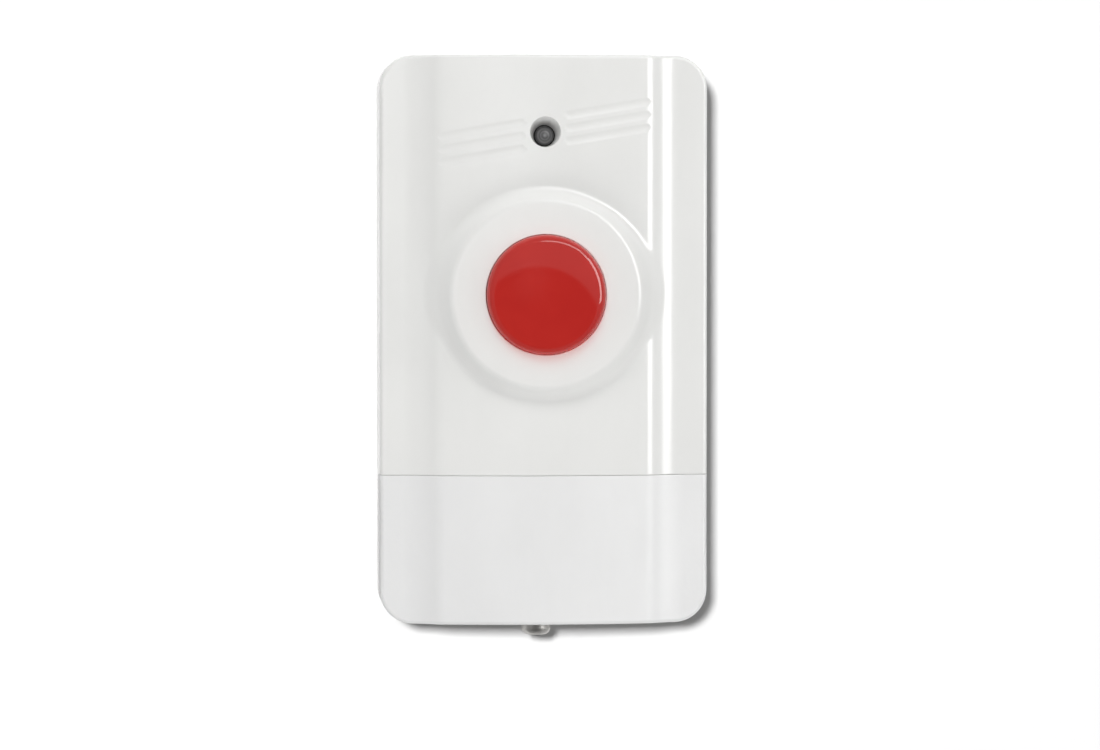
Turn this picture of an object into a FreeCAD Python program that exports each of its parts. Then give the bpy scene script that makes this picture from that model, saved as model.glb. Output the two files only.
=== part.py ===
import FreeCAD, Part
import math
import os
import Sketcher

# A wall-hung wireless panic button, in millimetres and degrees.
# X is to the right and Z is up. The wall is the plane Y = 0, and the front faces -Y.
# A depth is measured forward from the wall, so a point at depth d has Y = -d.
# Z = 0 is half way up the housing.

SIZES = {
    # Housing
    "body_width": 50.0,
    "body_height": 86.5,
    "corner_radius": 5.0,
    "shell_wall": 1.8,
    "rear_plate": 1.8,
    "parting_depth": 6.0,
    "rim_radius": 0.6,
    "rear_rim_radius": 0.5,
    "lip_thickness": 0.75,
    "lip_height": 0.9,
    "lip_gap": 0.08,
    # Front contour, from the crowned centre panel down to the flat side bands
    "panel_depth": 17.0,
    "crown_radius": 94.0,
    "panel_inset": 9.8,
    "edge_radius": 4.0,
    "foot_radius": 8.0,
    "flank_angle": 35.0,
    "flank_length": 0.4,
    "band_angle": 2.0,
    # Battery cover
    "cover_height": 22.7,
    "seam_gap": 0.25,
    "slide_gap": 0.2,
    "tongue_length": 1.6,
    "tongue_thickness": 0.8,
    "tongue_gap": 0.1,
    "bulkhead_thickness": 1.5,
    "rail_lip": 0.8,
    "rail_reach": 1.1,
    "rail_thickness": 1.0,
    "rail_gap": 0.25,
    "rail_depth": 7.2,
    "rail_end_gap": 1.2,
    # Button and its collar
    "button_below_light": 24.6,
    "button_radius": 9.05,
    "button_depth": 21.7,
    "button_crown_radius": 34.0,
    "shoulder_radius": 1.5,
    "button_wall": 1.6,
    "button_gap": 0.1,
    "press_travel": 1.2,
    "stop_flange_radius": 10.25,
    "stop_flange_thickness": 1.2,
    "stop_gap": 0.05,
    "guide_gap": 0.3,
    "guide_wall": 1.3,
    "guide_depth": 12.2,
    "ledge_thickness": 1.8,
    "collar_depth": 19.0,
    "collar_radius": 14.4,
    "collar_flank_angle": 55.0,
    "collar_edge_radius": 1.2,
    "collar_foot_radius": 1.2,
    "collar_root_depth": 13.0,
    "collar_relief_inset": 1.1,
    "stem_radius": 2.2,
    "seat_ring_wall": 1.1,
    "seat_ring_depth": 16.6,
    "stem_gap": 0.05,
    # Return spring round the switch
    "return_wire": 0.5,
    "return_coil_radius": 5.1,
    "return_turns": 6.0,
    # Status light
    "light_inset": 11.7,
    "light_drop": 0.5,
    "light_hole_radius": 2.3,
    "light_tube_wall": 1.1,
    "light_tube_depth": 12.6,
    "light_radius": 1.5,
    "light_base_depth": 10.3,
    "light_length": 5.3,
    "light_flange_radius": 1.9,
    "light_flange_thickness": 1.0,
    "light_lead_pitch": 2.54,
    "light_lead_width": 0.5,
    "light_lead_hole": 0.5,
    # Slanted grooves either side of the status light
    "groove_count": 3,
    "groove_pitch": 1.96,
    "groove_slope": 9.6,
    "groove_width": 1.25,
    "groove_cut": 0.3,
    "groove_start": 3.7,
    "groove_run_out": 21.0,
    # Case screws, driven from the back
    "case_screw_inset": 4.7,
    "case_screw_top": 6.25,
    "case_screw_bottom": 11.55,
    "case_boss_radius": 2.7,
    "case_tube_radius": 3.1,
    "case_screw_radius": 1.2,
    "case_screw_length": 9.0,
    "case_head_radius": 2.3,
    "case_head_height": 1.7,
    "head_clearance": 0.3,
    "case_seat_depth": 3.4,
    "screw_clearance": 0.2,
    "thread_gap": 0.02,
    "pilot_spare": 0.2,
    # Circuit board and its screws
    "board_side_gap": 0.4,
    "board_thickness": 1.2,
    "board_depth": 8.0,
    "board_top_gap": 2.4,
    "board_bottom_gap": 0.5,
    "board_screw_inset_side": 3.4,
    "board_screw_inset_top": 3.6,
    "board_screw_inset_bottom": 8.0,
    "board_boss_radius": 2.2,
    "board_screw_radius": 1.0,
    "board_screw_length": 5.4,
    "board_head_radius": 2.0,
    "board_head_height": 1.5,
    "lead_tail": 0.8,
    # Tact switch
    "tact_width": 6.0,
    "tact_base_height": 3.1,
    "tact_lid_thickness": 0.3,
    "tact_plunger_radius": 1.7,
    "tact_plunger_rise": 0.9,
    "tact_flange_radius": 2.3,
    "tact_flange_thickness": 0.5,
    "tact_travel": 0.3,
    "tact_gap": 0.06,
    "tact_well_spare": 0.1,
    "tact_flange_gap": 0.02,
    "tact_leg_width": 0.7,
    "tact_leg_thickness": 0.3,
    "tact_leg_pitch": 4.5,
    "tact_leg_offset": 0.25,
    "tact_leg_root": 0.6,
    "tact_leg_rise": 0.4,
    "tact_leg_hole": 0.5,
    # Encoder chip, low on the board
    "chip_x": -4.2,
    "chip_up": 7.2,
    "chip_length": 8.7,
    "chip_width": 3.9,
    "chip_rise": 1.5,
    "chip_leads_a_side": 7,
    "chip_lead_pitch": 1.27,
    "chip_lead_width": 0.4,
    "chip_lead_thickness": 0.2,
    "chip_lead_reach": 1.05,
    "chip_lead_root": 0.2,
    "chip_lift": 0.12,
    # Resonator can, transistor and reservoir capacitor
    "resonator_x": -9.3,
    "resonator_drop": 15.0,
    "resonator_radius": 4.2,
    "resonator_rim_radius": 4.65,
    "resonator_rim_thickness": 0.5,
    "resonator_rise": 3.2,
    "resonator_edge_radius": 0.4,
    "transistor_x": -1.6,
    "transistor_drop": 17.0,
    "transistor_length": 2.9,
    "transistor_width": 1.3,
    "transistor_rise": 1.0,
    "transistor_lift": 0.1,
    "transistor_lead_pitch": 0.95,
    "transistor_lead_width": 0.4,
    "transistor_lead_root": 0.3,
    "transistor_lead_reach": 0.55,
    "transistor_lead_thickness": 0.35,
    "reservoir_x": 6.6,
    "reservoir_up": 6.6,
    "reservoir_base": 5.3,
    "reservoir_base_rise": 0.9,
    "reservoir_radius": 2.5,
    "reservoir_rise": 3.9,
    "reservoir_edge_radius": 0.3,
    # Small chip resistors and capacitors
    "passive_column_x": 6.2,
    "passive_drop": 2.6,
    "passive_pitch": 2.4,
    "passive_up": 12.6,
    "passive_length": 2.0,
    "passive_width": 1.25,
    "resistor_rise": 0.55,
    "capacitor_rise": 0.9,
    # Coiled antenna, along the right side of the board
    "antenna_x": 12.4,
    "antenna_drop": 8.0,
    "antenna_length": 11.5,
    "antenna_radius": 2.3,
    "antenna_wire": 0.8,
    "antenna_turns": 8.5,
    "antenna_hole_gap": 0.1,
    # Battery bay
    "battery_radius": 5.15,
    "battery_length": 28.5,
    "battery_tip_radius": 2.9,
    "battery_tip_length": 0.8,
    "battery_height": 15.75,
    "battery_floor_gap": 0.3,
    "cradle_x": 8.0,
    "cradle_thickness": 1.2,
    "cradle_top": 4.6,
    "cradle_gap": 0.1,
    "cradle_margin": 0.6,
    "contact_thickness": 0.4,
    "contact_half_width": 5.7,
    "contact_rise": 3.3,
    "contact_tail_width": 2.4,
    "contact_tail_overlap": 0.5,
    "contact_foot_length": 3.0,
    "contact_foot_up": 1.0,
    "contact_post_width": 1.6,
    "contact_post_lip": 1.2,
    "contact_post_depth": 7.2,
    "contact_post_gap": 0.2,
    "contact_slot_gap": 0.1,
    "contact_notch_gap": 0.6,
    "contact_spring_length": 4.35,
    "contact_wire": 0.6,
    "contact_spring_radius": 3.0,
    "contact_spring_tip_radius": 2.2,
    "contact_spring_turns": 4.0,
    "contact_closed_turns": 1.0,
    # Cover screw and its post
    "cover_screw_depth": 8.6,
    "cover_screw_offset": 0.9,
    "cover_screw_radius": 1.25,
    "cover_screw_length": 6.5,
    "cover_head_radius": 2.25,
    "cover_head_height": 2.1,
    "post_width": 6.4,
    "post_length": 5.8,
    "post_gap": 0.3,
    "post_top": 11.6,
    "screw_hole_gap": 0.05,
    # Fixing to the wall
    "wall_hole_radius": 2.1,
    "wall_hole_spacing": 26.0,
    "wall_hole_height": 6.2,
    "keyhole_inset": 10.5,
    "keyhole_head_radius": 3.75,
    "keyhole_slot_radius": 1.9,
    "keyhole_slot_rise": 5.0,
}

# Well outside the part, and how far a cut starts before the face that it opens
FAR = 30.0
LEAD = 1.0
TINY = 1e-6
# A screw's proportions, as shares of its radii and head height
SCREW_TIP = 0.3
RECESS_REACH = 0.58
RECESS_HALF_WIDTH = 0.13
RECESS_DEPTH = 0.55
# A coil's arcs a turn, the turns over which its pitch changes, and its closed pitch in wires
ARCS_PER_TURN = 4
EASE_TURNS = 0.5
CLOSED_PITCH = 1.04
# Sketcher's numbers for the origin, the two axes and the points of a curve
ORIGIN = -1
HORIZONTAL = -1
VERTICAL = -2
START = 1
END = 2
CENTRE = 3

doc = FreeCAD.newDocument("panic_button")
sheet = doc.addObject("Spreadsheet::Sheet", "sizes")
for row, (alias, value) in enumerate(SIZES.items(), start=1):
    sheet.set(f"A{row}", alias)
    sheet.set(f"B{row}", str(value))
    sheet.setAlias(f"B{row}", alias)
doc.recompute()


class Size:
    """A number together with the sheet expression that gives it."""

    def __init__(self, number, text):
        self.number = number
        self.text = text

    def __add__(self, other):
        other = as_size(other)
        return Size(self.number + other.number, f"({self.text} + {other.text})")

    def __sub__(self, other):
        other = as_size(other)
        return Size(self.number - other.number, f"({self.text} - {other.text})")

    def __rsub__(self, other):
        return as_size(other) - self

    def __mul__(self, other):
        other = as_size(other)
        return Size(self.number * other.number, f"({self.text} * {other.text})")

    def __truediv__(self, other):
        other = as_size(other)
        return Size(self.number / other.number, f"({self.text} / {other.text})")

    def __neg__(self):
        return Size(-self.number, f"(-1 * {self.text})")

    __radd__ = __add__
    __rmul__ = __mul__


def as_size(value):
    """A plain number as a size that is tied to nothing."""
    return value if isinstance(value, Size) else Size(float(value), str(value))


def size(alias):
    """The driving dimension of that name."""
    return Size(float(sheet.get(alias)), f"sizes.{alias}")


def sine(angle):
    return Size(math.sin(math.radians(angle.number)), f"sin({angle.text} * 1 deg)")


def cosine(angle):
    return Size(math.cos(math.radians(angle.number)), f"cos({angle.text} * 1 deg)")


def root(value):
    return Size(math.sqrt(value.number), f"sqrt({value.text})")


def bind(thing, name, value):
    """Ties a property to the sheet."""
    thing.setExpression(name, as_size(value).text)


# Places worked out from the driving dimensions

half_width = size("body_width") / 2
half_height = size("body_height") / 2
panel_half_width = half_width - size("panel_inset")
inner_half_width = half_width - size("shell_wall")
inner_top = half_height - size("shell_wall")
inner_bottom = -half_height + size("shell_wall")
seam = size("cover_height") - half_height
cover_screw_x = -size("cover_screw_offset")
tongue_top = seam + size("tongue_length")
bulkhead_low = tongue_top + size("seam_gap")
bulkhead_high = bulkhead_low + size("bulkhead_thickness")
rail_flange_back = size("rail_depth") + size("rail_thickness") + size("rail_gap")
rail_flange_front = rail_flange_back + size("rail_thickness")
light_z = half_height - size("light_inset")
button_z = light_z - size("button_below_light")
lamp_z = light_z - size("light_drop")
ledge_depth = size("collar_depth") - size("ledge_thickness")
button_hole_radius = size("button_radius") + size("button_gap")
guide_radius = size("stop_flange_radius") + size("guide_gap")
case_screw_x = half_width - size("case_screw_inset")
half_board = case_screw_x - size("case_boss_radius") - size("board_side_gap")
board_screw_x = half_board - size("board_screw_inset_side")
board_back = size("board_depth") - size("board_thickness")
board_low = bulkhead_high + size("board_bottom_gap")
board_high = inner_top - size("board_top_gap")
tact_lid_depth = size("board_depth") + size("tact_base_height")
tact_top_depth = tact_lid_depth + size("tact_lid_thickness")
plunger_depth = tact_top_depth + size("tact_plunger_rise")
battery_z = size("battery_height") - half_height
battery_depth = size("rear_plate") + size("battery_floor_gap") + size("battery_radius")
minus_face = (size("battery_length") + size("contact_spring_length")) / 2
plus_face = -minus_face
case_screw_places = [
    (side * case_screw_x, z)
    for side in (-1, 1)
    for z in (half_height - size("case_screw_top"), bulkhead_low + size("case_screw_bottom"))
]
board_screw_places = [
    (side * board_screw_x, z)
    for side in (-1, 1)
    for z in (
        board_high - size("board_screw_inset_top"),
        board_low + size("board_screw_inset_bottom"),
    )
]


# Sketches and features


def new_body(label):
    body = doc.addObject("PartDesign::Body", label)
    body.Label = label
    return body


def new_sketch(body, role, offset=0):
    """A sketch on one of the body's origin planes, moved along that plane's normal."""
    sketch = body.newObject("Sketcher::SketchObject", f"{body.Name}_sketch")
    plane = [item for item in body.Origin.OriginFeatures if item.Role == role][0]
    sketch.AttachmentSupport = (plane, [""])
    sketch.MapMode = "FlatFace"
    bind(sketch, "AttachmentOffset.Base.z", offset)
    return sketch


def front_sketch(body, depth=0):
    """A sketch seen from the front: its axes are X and Z, and its normal points forward."""
    return new_sketch(body, "XZ_Plane", depth)


def level_sketch(body, height=0):
    """A sketch seen from above: its axes are X and Y, and its normal points up."""
    return new_sketch(body, "XY_Plane", height)


def side_sketch(body, offset=0):
    """A sketch seen from the side: its axes are Y and Z, and its normal points along X."""
    return new_sketch(body, "YZ_Plane", offset)


def dimension(sketch, kind, places, value):
    """Adds a driving constraint and ties it to the sheet."""
    value = as_size(value)
    index = sketch.addConstraint(Sketcher.Constraint(kind, *places, value.number))
    sketch.setExpression(f"Constraints[{index}]", value.text)


def hold(sketch, geometry, position, x, y):
    """Fixes a point of the sketch at x, y."""
    for kind, value, axis in (
        ("DistanceX", as_size(x), VERTICAL),
        ("DistanceY", as_size(y), HORIZONTAL),
    ):
        if abs(value.number) < TINY:
            sketch.addConstraint(Sketcher.Constraint("PointOnObject", geometry, position, axis))
        elif value.number > 0:
            dimension(sketch, kind, (ORIGIN, START, geometry, position), value)
        else:
            dimension(sketch, kind, (geometry, position, ORIGIN, START), -value)


def circle(sketch, x, y, radius):
    x, y, radius = as_size(x), as_size(y), as_size(radius)
    centre = FreeCAD.Vector(x.number, y.number, 0)
    index = sketch.addGeometry(Part.Circle(centre, FreeCAD.Vector(0, 0, 1), radius.number), False)
    hold(sketch, index, CENTRE, x, y)
    dimension(sketch, "Radius", (index,), radius)
    return index


def arc_between(start, end, radius, side):
    """The shorter arc from start to end, with its centre to the left of the way for side 1."""
    chord = end - start
    middle = (start + end) * 0.5
    left = FreeCAD.Vector(-chord.y, chord.x, 0).normalize()
    reach = math.sqrt(max(radius * radius - chord.Length * chord.Length / 4, 0))
    centre = middle + left * (side * reach)
    return Part.Arc(start, centre - left * (side * radius), end)


def end_nearest(sketch, geometry, point):
    gap = (sketch.getPoint(geometry, START) - point).Length
    return START if gap < (sketch.getPoint(geometry, END) - point).Length else END


def outline(sketch, corners):
    """Draws a closed outline. A corner (x, y) is reached by a line, (x, y, radius, side) by an arc."""
    sizes = [tuple(as_size(value) for value in corner) for corner in corners]
    points = [FreeCAD.Vector(corner[0].number, corner[1].number, 0) for corner in sizes]
    drawn = []
    for index, corner in enumerate(sizes):
        start, end = points[index - 1], points[index]
        if len(corner) == 2:
            piece = Part.LineSegment(start, end)
        else:
            piece = arc_between(start, end, corner[2].number, corner[3].number)
        geometry = sketch.addGeometry(piece, False)
        drawn.append(
            (geometry, end_nearest(sketch, geometry, start), end_nearest(sketch, geometry, end))
        )
    for index, (geometry, first, last) in enumerate(drawn):
        following, follow_start, _ = drawn[(index + 1) % len(drawn)]
        sketch.addConstraint(
            Sketcher.Constraint("Coincident", geometry, last, following, follow_start)
        )
        hold(sketch, geometry, last, sizes[index][0], sizes[index][1])
        if len(sizes[index]) > 2:
            dimension(sketch, "Radius", (geometry,), sizes[index][2])


def rectangle(sketch, left, right, low, high):
    outline(sketch, [(left, low), (right, low), (right, high), (left, high)])


def finish_feature(body, feature, grows):
    """Recomputes and makes sure that the feature has added or removed material."""
    before = volume_before(feature)
    doc.recompute()
    after = feature.Shape.Volume
    if grows and after <= before + TINY or not grows and after >= before - TINY:
        raise RuntimeError(f"{body.Label}: {feature.Name} changed nothing")
    return feature


def volume_before(feature):
    base = feature.BaseFeature
    return base.Shape.Volume if base else 0.0


def pad(body, sketch, length):
    """Adds material forward along the sketch's normal."""
    feature = body.newObject("PartDesign::Pad", f"{body.Name}_pad")
    feature.Profile = sketch
    bind(feature, "Length", length)
    return finish_feature(body, feature, True)


def pocket(body, sketch, length=None):
    """Cuts forward along the sketch's normal, or right through both ways without a length."""
    feature = body.newObject("PartDesign::Pocket", f"{body.Name}_pocket")
    feature.Profile = sketch
    if length is None:
        feature.Type = "ThroughAll"
        feature.Midplane = True
    else:
        feature.Reversed = True
        bind(feature, "Length", length)
    return finish_feature(body, feature, False)


def turn(body, sketch, axis="V_Axis"):
    """Adds the sketch turned once round its own axis."""
    feature = body.newObject("PartDesign::Revolution", f"{body.Name}_turn")
    feature.Profile = sketch
    feature.ReferenceAxis = (sketch, [axis])
    feature.Angle = 360.0
    return finish_feature(body, feature, True)


def turned_cut(body, sketch, axis="V_Axis"):
    """Cuts the sketch turned once round its own axis."""
    feature = body.newObject("PartDesign::Groove", f"{body.Name}_groove")
    feature.Profile = sketch
    feature.ReferenceAxis = (sketch, [axis])
    feature.Angle = 360.0
    return finish_feature(body, feature, False)


def edges_where(shape, wanted):
    return [f"Edge{number}" for number, edge in enumerate(shape.Edges, start=1) if wanted(edge)]


def fillet(body, radius, wanted):
    """Rounds the edges of the body's last feature that wanted picks."""
    base = body.Tip
    feature = body.newObject("PartDesign::Fillet", f"{body.Name}_fillet")
    feature.Base = (base, edges_where(base.Shape, wanted))
    bind(feature, "Radius", radius)
    doc.recompute()
    return feature


def middle_of(edge):
    return edge.valueAt((edge.FirstParameter + edge.LastParameter) / 2)


def runs_forward(x, z):
    """Picks the straight edge along Y at x, z."""

    def wanted(edge):
        return all(
            abs(vertex.X - x.number) < TINY and abs(vertex.Z - z.number) < TINY
            for vertex in edge.Vertexes
        ) and len(edge.Vertexes) == 2

    return wanted


def no_nearer_wall(depth):
    """Picks edges with both ends at that depth or in front of it."""
    return lambda edge: all(-vertex.Y > depth.number - TINY for vertex in edge.Vertexes)


def outside_outline(x, z):
    """How far a point lies outside the housing's rounded outline."""
    radius = size("corner_radius").number
    across = abs(x) - (half_width.number - radius)
    upward = abs(z) - (half_height.number - radius)
    return math.hypot(max(across, 0), max(upward, 0)) + min(max(across, upward), 0) - radius


def on_rim(least, most):
    """Picks edges on the housing's outline, between two depths, that do not run forward."""

    def wanted(edge):
        ends = [vertex.Point for vertex in edge.Vertexes]
        point = middle_of(edge)
        return (
            abs(outside_outline(point.x, point.z)) < 1e-3
            and all(least <= -end.y <= most for end in ends + [point])
            and not (len(ends) == 2 and abs(ends[0].x - ends[1].x) < TINY
                     and abs(ends[0].z - ends[1].z) < TINY)
        )

    return wanted


# The front contour, drawn in a level sketch


def contour(sketch, inset, reach, cap_depth):
    """Closes the front contour, moved inwards by inset, with a rectangle that ends at cap_depth."""
    inset, reach, cap_depth = as_size(inset), as_size(reach), as_size(cap_depth)
    crown = size("crown_radius") - inset
    edge = size("edge_radius") - inset
    foot = size("foot_radius") + inset
    apex = size("panel_depth") - inset
    half = panel_half_width * crown / size("crown_radius")
    lean = math.asin(half.number / crown.number)
    flank = math.radians(size("flank_angle").number)
    band = math.radians(size("band_angle").number)

    def outward(angle, length):
        return FreeCAD.Vector(math.sin(angle) * length, -math.cos(angle) * length, 0)

    crown_centre = FreeCAD.Vector(0, crown.number - apex.number, 0)
    edge_centre = crown_centre + outward(lean, crown.number - edge.number)
    flank_top = edge_centre + outward(flank, edge.number)
    along = FreeCAD.Vector(math.cos(flank), math.sin(flank), 0)
    flank_foot = flank_top + along * size("flank_length").number
    foot_centre = flank_foot + outward(flank, foot.number)
    band_start = foot_centre - outward(band, foot.number)
    band_end = FreeCAD.Vector(
        reach.number,
        band_start.y + (reach.number - band_start.x) * math.tan(band),
        0,
    )
    cap_corner = FreeCAD.Vector(reach.number, -cap_depth.number, 0)

    def arc(centre, radius, first, last):
        base = Part.Circle(centre, FreeCAD.Vector(0, 0, 1), radius)
        return Part.ArcOfCircle(base, first, last)

    def mirrored(point):
        return FreeCAD.Vector(-point.x, point.y, 0)

    down = -math.pi / 2
    up = math.pi / 2
    pieces = [
        arc(crown_centre, crown.number, down - lean, down + lean),
        arc(edge_centre, edge.number, down + lean, down + flank),
        Part.LineSegment(flank_top, flank_foot),
        arc(foot_centre, foot.number, up + band, up + flank),
        Part.LineSegment(band_start, band_end),
        Part.LineSegment(band_end, cap_corner),
        Part.LineSegment(cap_corner, mirrored(cap_corner)),
        Part.LineSegment(mirrored(cap_corner), mirrored(band_end)),
        Part.LineSegment(mirrored(band_end), mirrored(band_start)),
        arc(mirrored(foot_centre), foot.number, up - flank, up - band),
        Part.LineSegment(mirrored(flank_foot), mirrored(flank_top)),
        arc(mirrored(edge_centre), edge.number, down - flank, down - lean),
    ]
    for piece in pieces:
        sketch.addGeometry(piece, False)

    for joint in (
        (0, END, 1, START),
        (1, END, 2, START),
        (2, END, 3, END),
        (3, START, 4, START),
    ):
        sketch.addConstraint(Sketcher.Constraint("Tangent", *joint))
    for joint in (
        (4, END, 5, START),
        (5, END, 6, START),
        (6, END, 7, START),
        (7, END, 8, START),
        (8, END, 9, END),
        (9, START, 10, START),
        (10, END, 11, START),
        (11, END, 0, START),
    ):
        sketch.addConstraint(Sketcher.Constraint("Coincident", *joint))
    for mirror_pair in (
        (0, START, 0, END),
        (10, END, 2, START),
        (10, START, 2, END),
        (8, END, 4, START),
        (8, START, 4, END),
        (6, END, 6, START),
    ):
        sketch.addConstraint(Sketcher.Constraint("Symmetric", *mirror_pair, VERTICAL))
    sketch.addConstraint(Sketcher.Constraint("Equal", 11, 1))
    sketch.addConstraint(Sketcher.Constraint("Equal", 9, 3))
    sketch.addConstraint(Sketcher.Constraint("Vertical", 5))
    dimension(sketch, "Radius", (0,), crown)
    dimension(sketch, "Radius", (1,), edge)
    dimension(sketch, "Radius", (3,), foot)
    dimension(sketch, "Distance", (2, START, 2, END), size("flank_length"))
    sketch_angle(sketch, 2, size("flank_angle"))
    sketch_angle(sketch, 4, size("band_angle"))
    dimension(sketch, "DistanceY", (ORIGIN, START, 0, CENTRE), crown - apex)
    dimension(sketch, "DistanceX", (ORIGIN, START, 0, END), half)
    dimension(sketch, "DistanceX", (ORIGIN, START, 4, END), reach)
    dimension(sketch, "DistanceY", (5, END, ORIGIN, START), cap_depth)


def sketch_angle(sketch, geometry, angle):
    """Sets the slope of a line, in degrees above the sketch's X axis."""
    radians = math.radians(angle.number)
    index = sketch.addConstraint(Sketcher.Constraint("Angle", geometry, radians))
    sketch.setExpression(f"Constraints[{index}]", f"{angle.text} * 1 deg")


def trim_front(body):
    """Cuts away everything in front of the contour."""
    sketch = level_sketch(body)
    contour(sketch, 0, FAR, FAR)
    return pocket(body, sketch)


def hollow(body, inset, low, high, back_depth):
    """Hollows the body behind the contour, between two heights."""
    sketch = level_sketch(body, low)
    contour(sketch, inset, half_width - inset, back_depth)
    return pocket(body, sketch, high - low)


# The moulded housing


def front_case():
    """The front moulding: a solid outer form, less its core and the grooves on its face."""
    body = new_body("front_form")
    parting = size("parting_depth")

    block = front_sketch(body, parting)
    rectangle(block, -half_width, half_width, seam, half_height)
    pad(body, block, FAR - parting)
    for side in (-1, 1):
        fillet(body, size("corner_radius"), runs_forward(side * half_width, half_height))
    trim_front(body)
    fillet(body, size("rim_radius"), on_rim(parting.number + LEAD, FAR))
    add_collar(body)
    hollow(body, size("shell_wall"), seam - LEAD, bulkhead_low, parting - LEAD)

    bore = front_sketch(body, parting)
    circle(bore, 0, button_z, guide_radius)
    pocket(body, bore, ledge_depth - parting)
    opening = front_sketch(body, parting)
    circle(opening, 0, button_z, button_hole_radius)
    pocket(body, opening, FAR - parting)

    window = front_sketch(body, parting)
    circle(window, 0, light_z, size("light_hole_radius"))
    pocket(body, window, FAR - parting)

    pilots = front_sketch(body, parting)
    for x, z in case_screw_places:
        circle(pilots, x, z, size("case_screw_radius") + size("thread_gap"))
    case_screw_end = size("case_seat_depth") + size("case_screw_length")
    pocket(body, pilots, case_screw_end + size("pilot_spare") - parting)
    board_pilots = front_sketch(body, size("board_depth") - LEAD)
    for x, z in board_screw_places:
        circle(board_pilots, x, z, size("board_screw_radius") + size("thread_gap"))
    board_screw_grip = size("board_screw_length") - size("board_thickness")
    pocket(body, board_pilots, LEAD + board_screw_grip + size("pilot_spare"))

    rebate = front_sketch(body, parting - LEAD)
    lip_outline(rebate, size("lip_thickness") + size("lip_gap"), bulkhead_high)
    pocket(body, rebate, LEAD + size("lip_height") + size("lip_gap"))

    cut_contact_notches(body, parting)
    hollowed = difference("front_hollowed", body, front_core())
    return difference("front_case", hollowed, groove_tools())


def lip_outline(sketch, thickness, low):
    """The band round the inside of both side walls and the top wall, from low upwards."""
    inner = inner_half_width
    outer = inner_half_width + thickness
    top = inner_top + thickness
    bend = size("corner_radius") - size("shell_wall")
    outer_bend = bend + thickness
    outline(
        sketch,
        [
            (-outer, low),
            (-outer, top - outer_bend),
            (-outer + outer_bend, top, outer_bend, -1),
            (outer - outer_bend, top),
            (outer, top - outer_bend, outer_bend, -1),
            (outer, low),
            (inner, low),
            (inner, inner_top - bend),
            (inner - bend, inner_top, bend, 1),
            (-inner + bend, inner_top),
            (-inner, inner_top - bend, bend, 1),
            (-inner, low),
        ],
    )


def difference(label, base, tool):
    """The base with the tool cut out of it."""
    cut = doc.addObject("Part::Cut", label)
    cut.Base = base
    cut.Tool = tool
    cut.Label = label
    doc.recompute()
    if cut.Shape.Volume >= base.Shape.Volume - TINY:
        raise RuntimeError(f"{label}: nothing was cut")
    return cut


def front_core():
    """The room inside the front moulding, with holes where its bosses and tubes stand."""
    body = new_body("front_core")
    parting = size("parting_depth")
    wall = size("shell_wall")
    back = parting - LEAD

    room = level_sketch(body, bulkhead_high)
    contour(room, wall, inner_half_width, back)
    pad(body, room, inner_top - bulkhead_high)
    for side in (-1, 1):
        inner = runs_forward(side * inner_half_width, inner_top)
        fillet(body, size("corner_radius") - wall, inner)

    # The collar is hollow behind, so that its wall stays even
    relief = front_sketch(body, parting)
    circle(relief, 0, button_z, size("collar_radius") - size("collar_relief_inset"))
    pad(body, relief, ledge_depth - parting)

    for places, radius, depth in (
        (case_screw_places, size("case_boss_radius"), back),
        (board_screw_places, size("board_boss_radius"), size("board_depth")),
        ([(0, button_z)], guide_radius + size("guide_wall"), size("guide_depth")),
        (
            [(0, light_z)],
            size("light_hole_radius") + size("light_tube_wall"),
            size("light_tube_depth"),
        ),
    ):
        bosses = front_sketch(body, depth)
        for x, z in places:
            circle(bosses, x, z, radius)
        pocket(body, bosses, FAR - depth)
    return body


def add_collar(body):
    """The raised disc round the button, with a sloping flank down to the panel."""
    sketch = level_sketch(body, button_z)
    top = size("collar_depth")
    start = guide_radius
    foot_depth = size("collar_root_depth")
    angle = size("collar_flank_angle")
    tilt = cosine(angle) / sine(angle)
    foot_radius = size("collar_radius") + (top - foot_depth) * tilt
    outline(
        sketch,
        [
            (0, -top),
            (0, -(size("panel_depth") - size("shell_wall"))),
            (start, -(size("panel_depth") - size("shell_wall"))),
            (start, -foot_depth),
            (foot_radius, -foot_depth),
            (size("collar_radius"), -top),
        ],
    )
    turn(body, sketch)

    def off_flank(point):
        reach = math.hypot(point.x, point.z - button_z.number)
        return abs(reach - size("collar_radius").number - (top.number + point.y) * tilt.number)

    def at_foot(edge):
        points = [vertex.Point for vertex in edge.Vertexes] + [middle_of(edge)]
        deepest = size("panel_depth").number + TINY
        return all(off_flank(point) < 1e-3 and -point.y < deepest for point in points)

    def at_top(edge):
        points = [vertex.Point for vertex in edge.Vertexes] + [middle_of(edge)]
        return all(off_flank(point) < 1e-3 and -point.y > top.number - TINY for point in points)

    fillet(body, size("collar_edge_radius"), at_top)
    return fillet(body, size("collar_foot_radius"), at_foot)


def cut_contact_notches(body, depth):
    """Openings in the bulkhead for the two battery contacts' tails."""
    notches = front_sketch(body, depth)
    gap = size("contact_notch_gap")
    for face, side in ((plus_face, -1), (minus_face, 1)):
        near = face - side * gap
        far = face + side * (size("contact_thickness") + gap)
        rectangle(notches, *ordered(near, far), bulkhead_low - gap, bulkhead_high + gap)
    return pocket(body, notches, size("board_depth") + size("contact_tail_width") + gap - depth)


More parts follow.
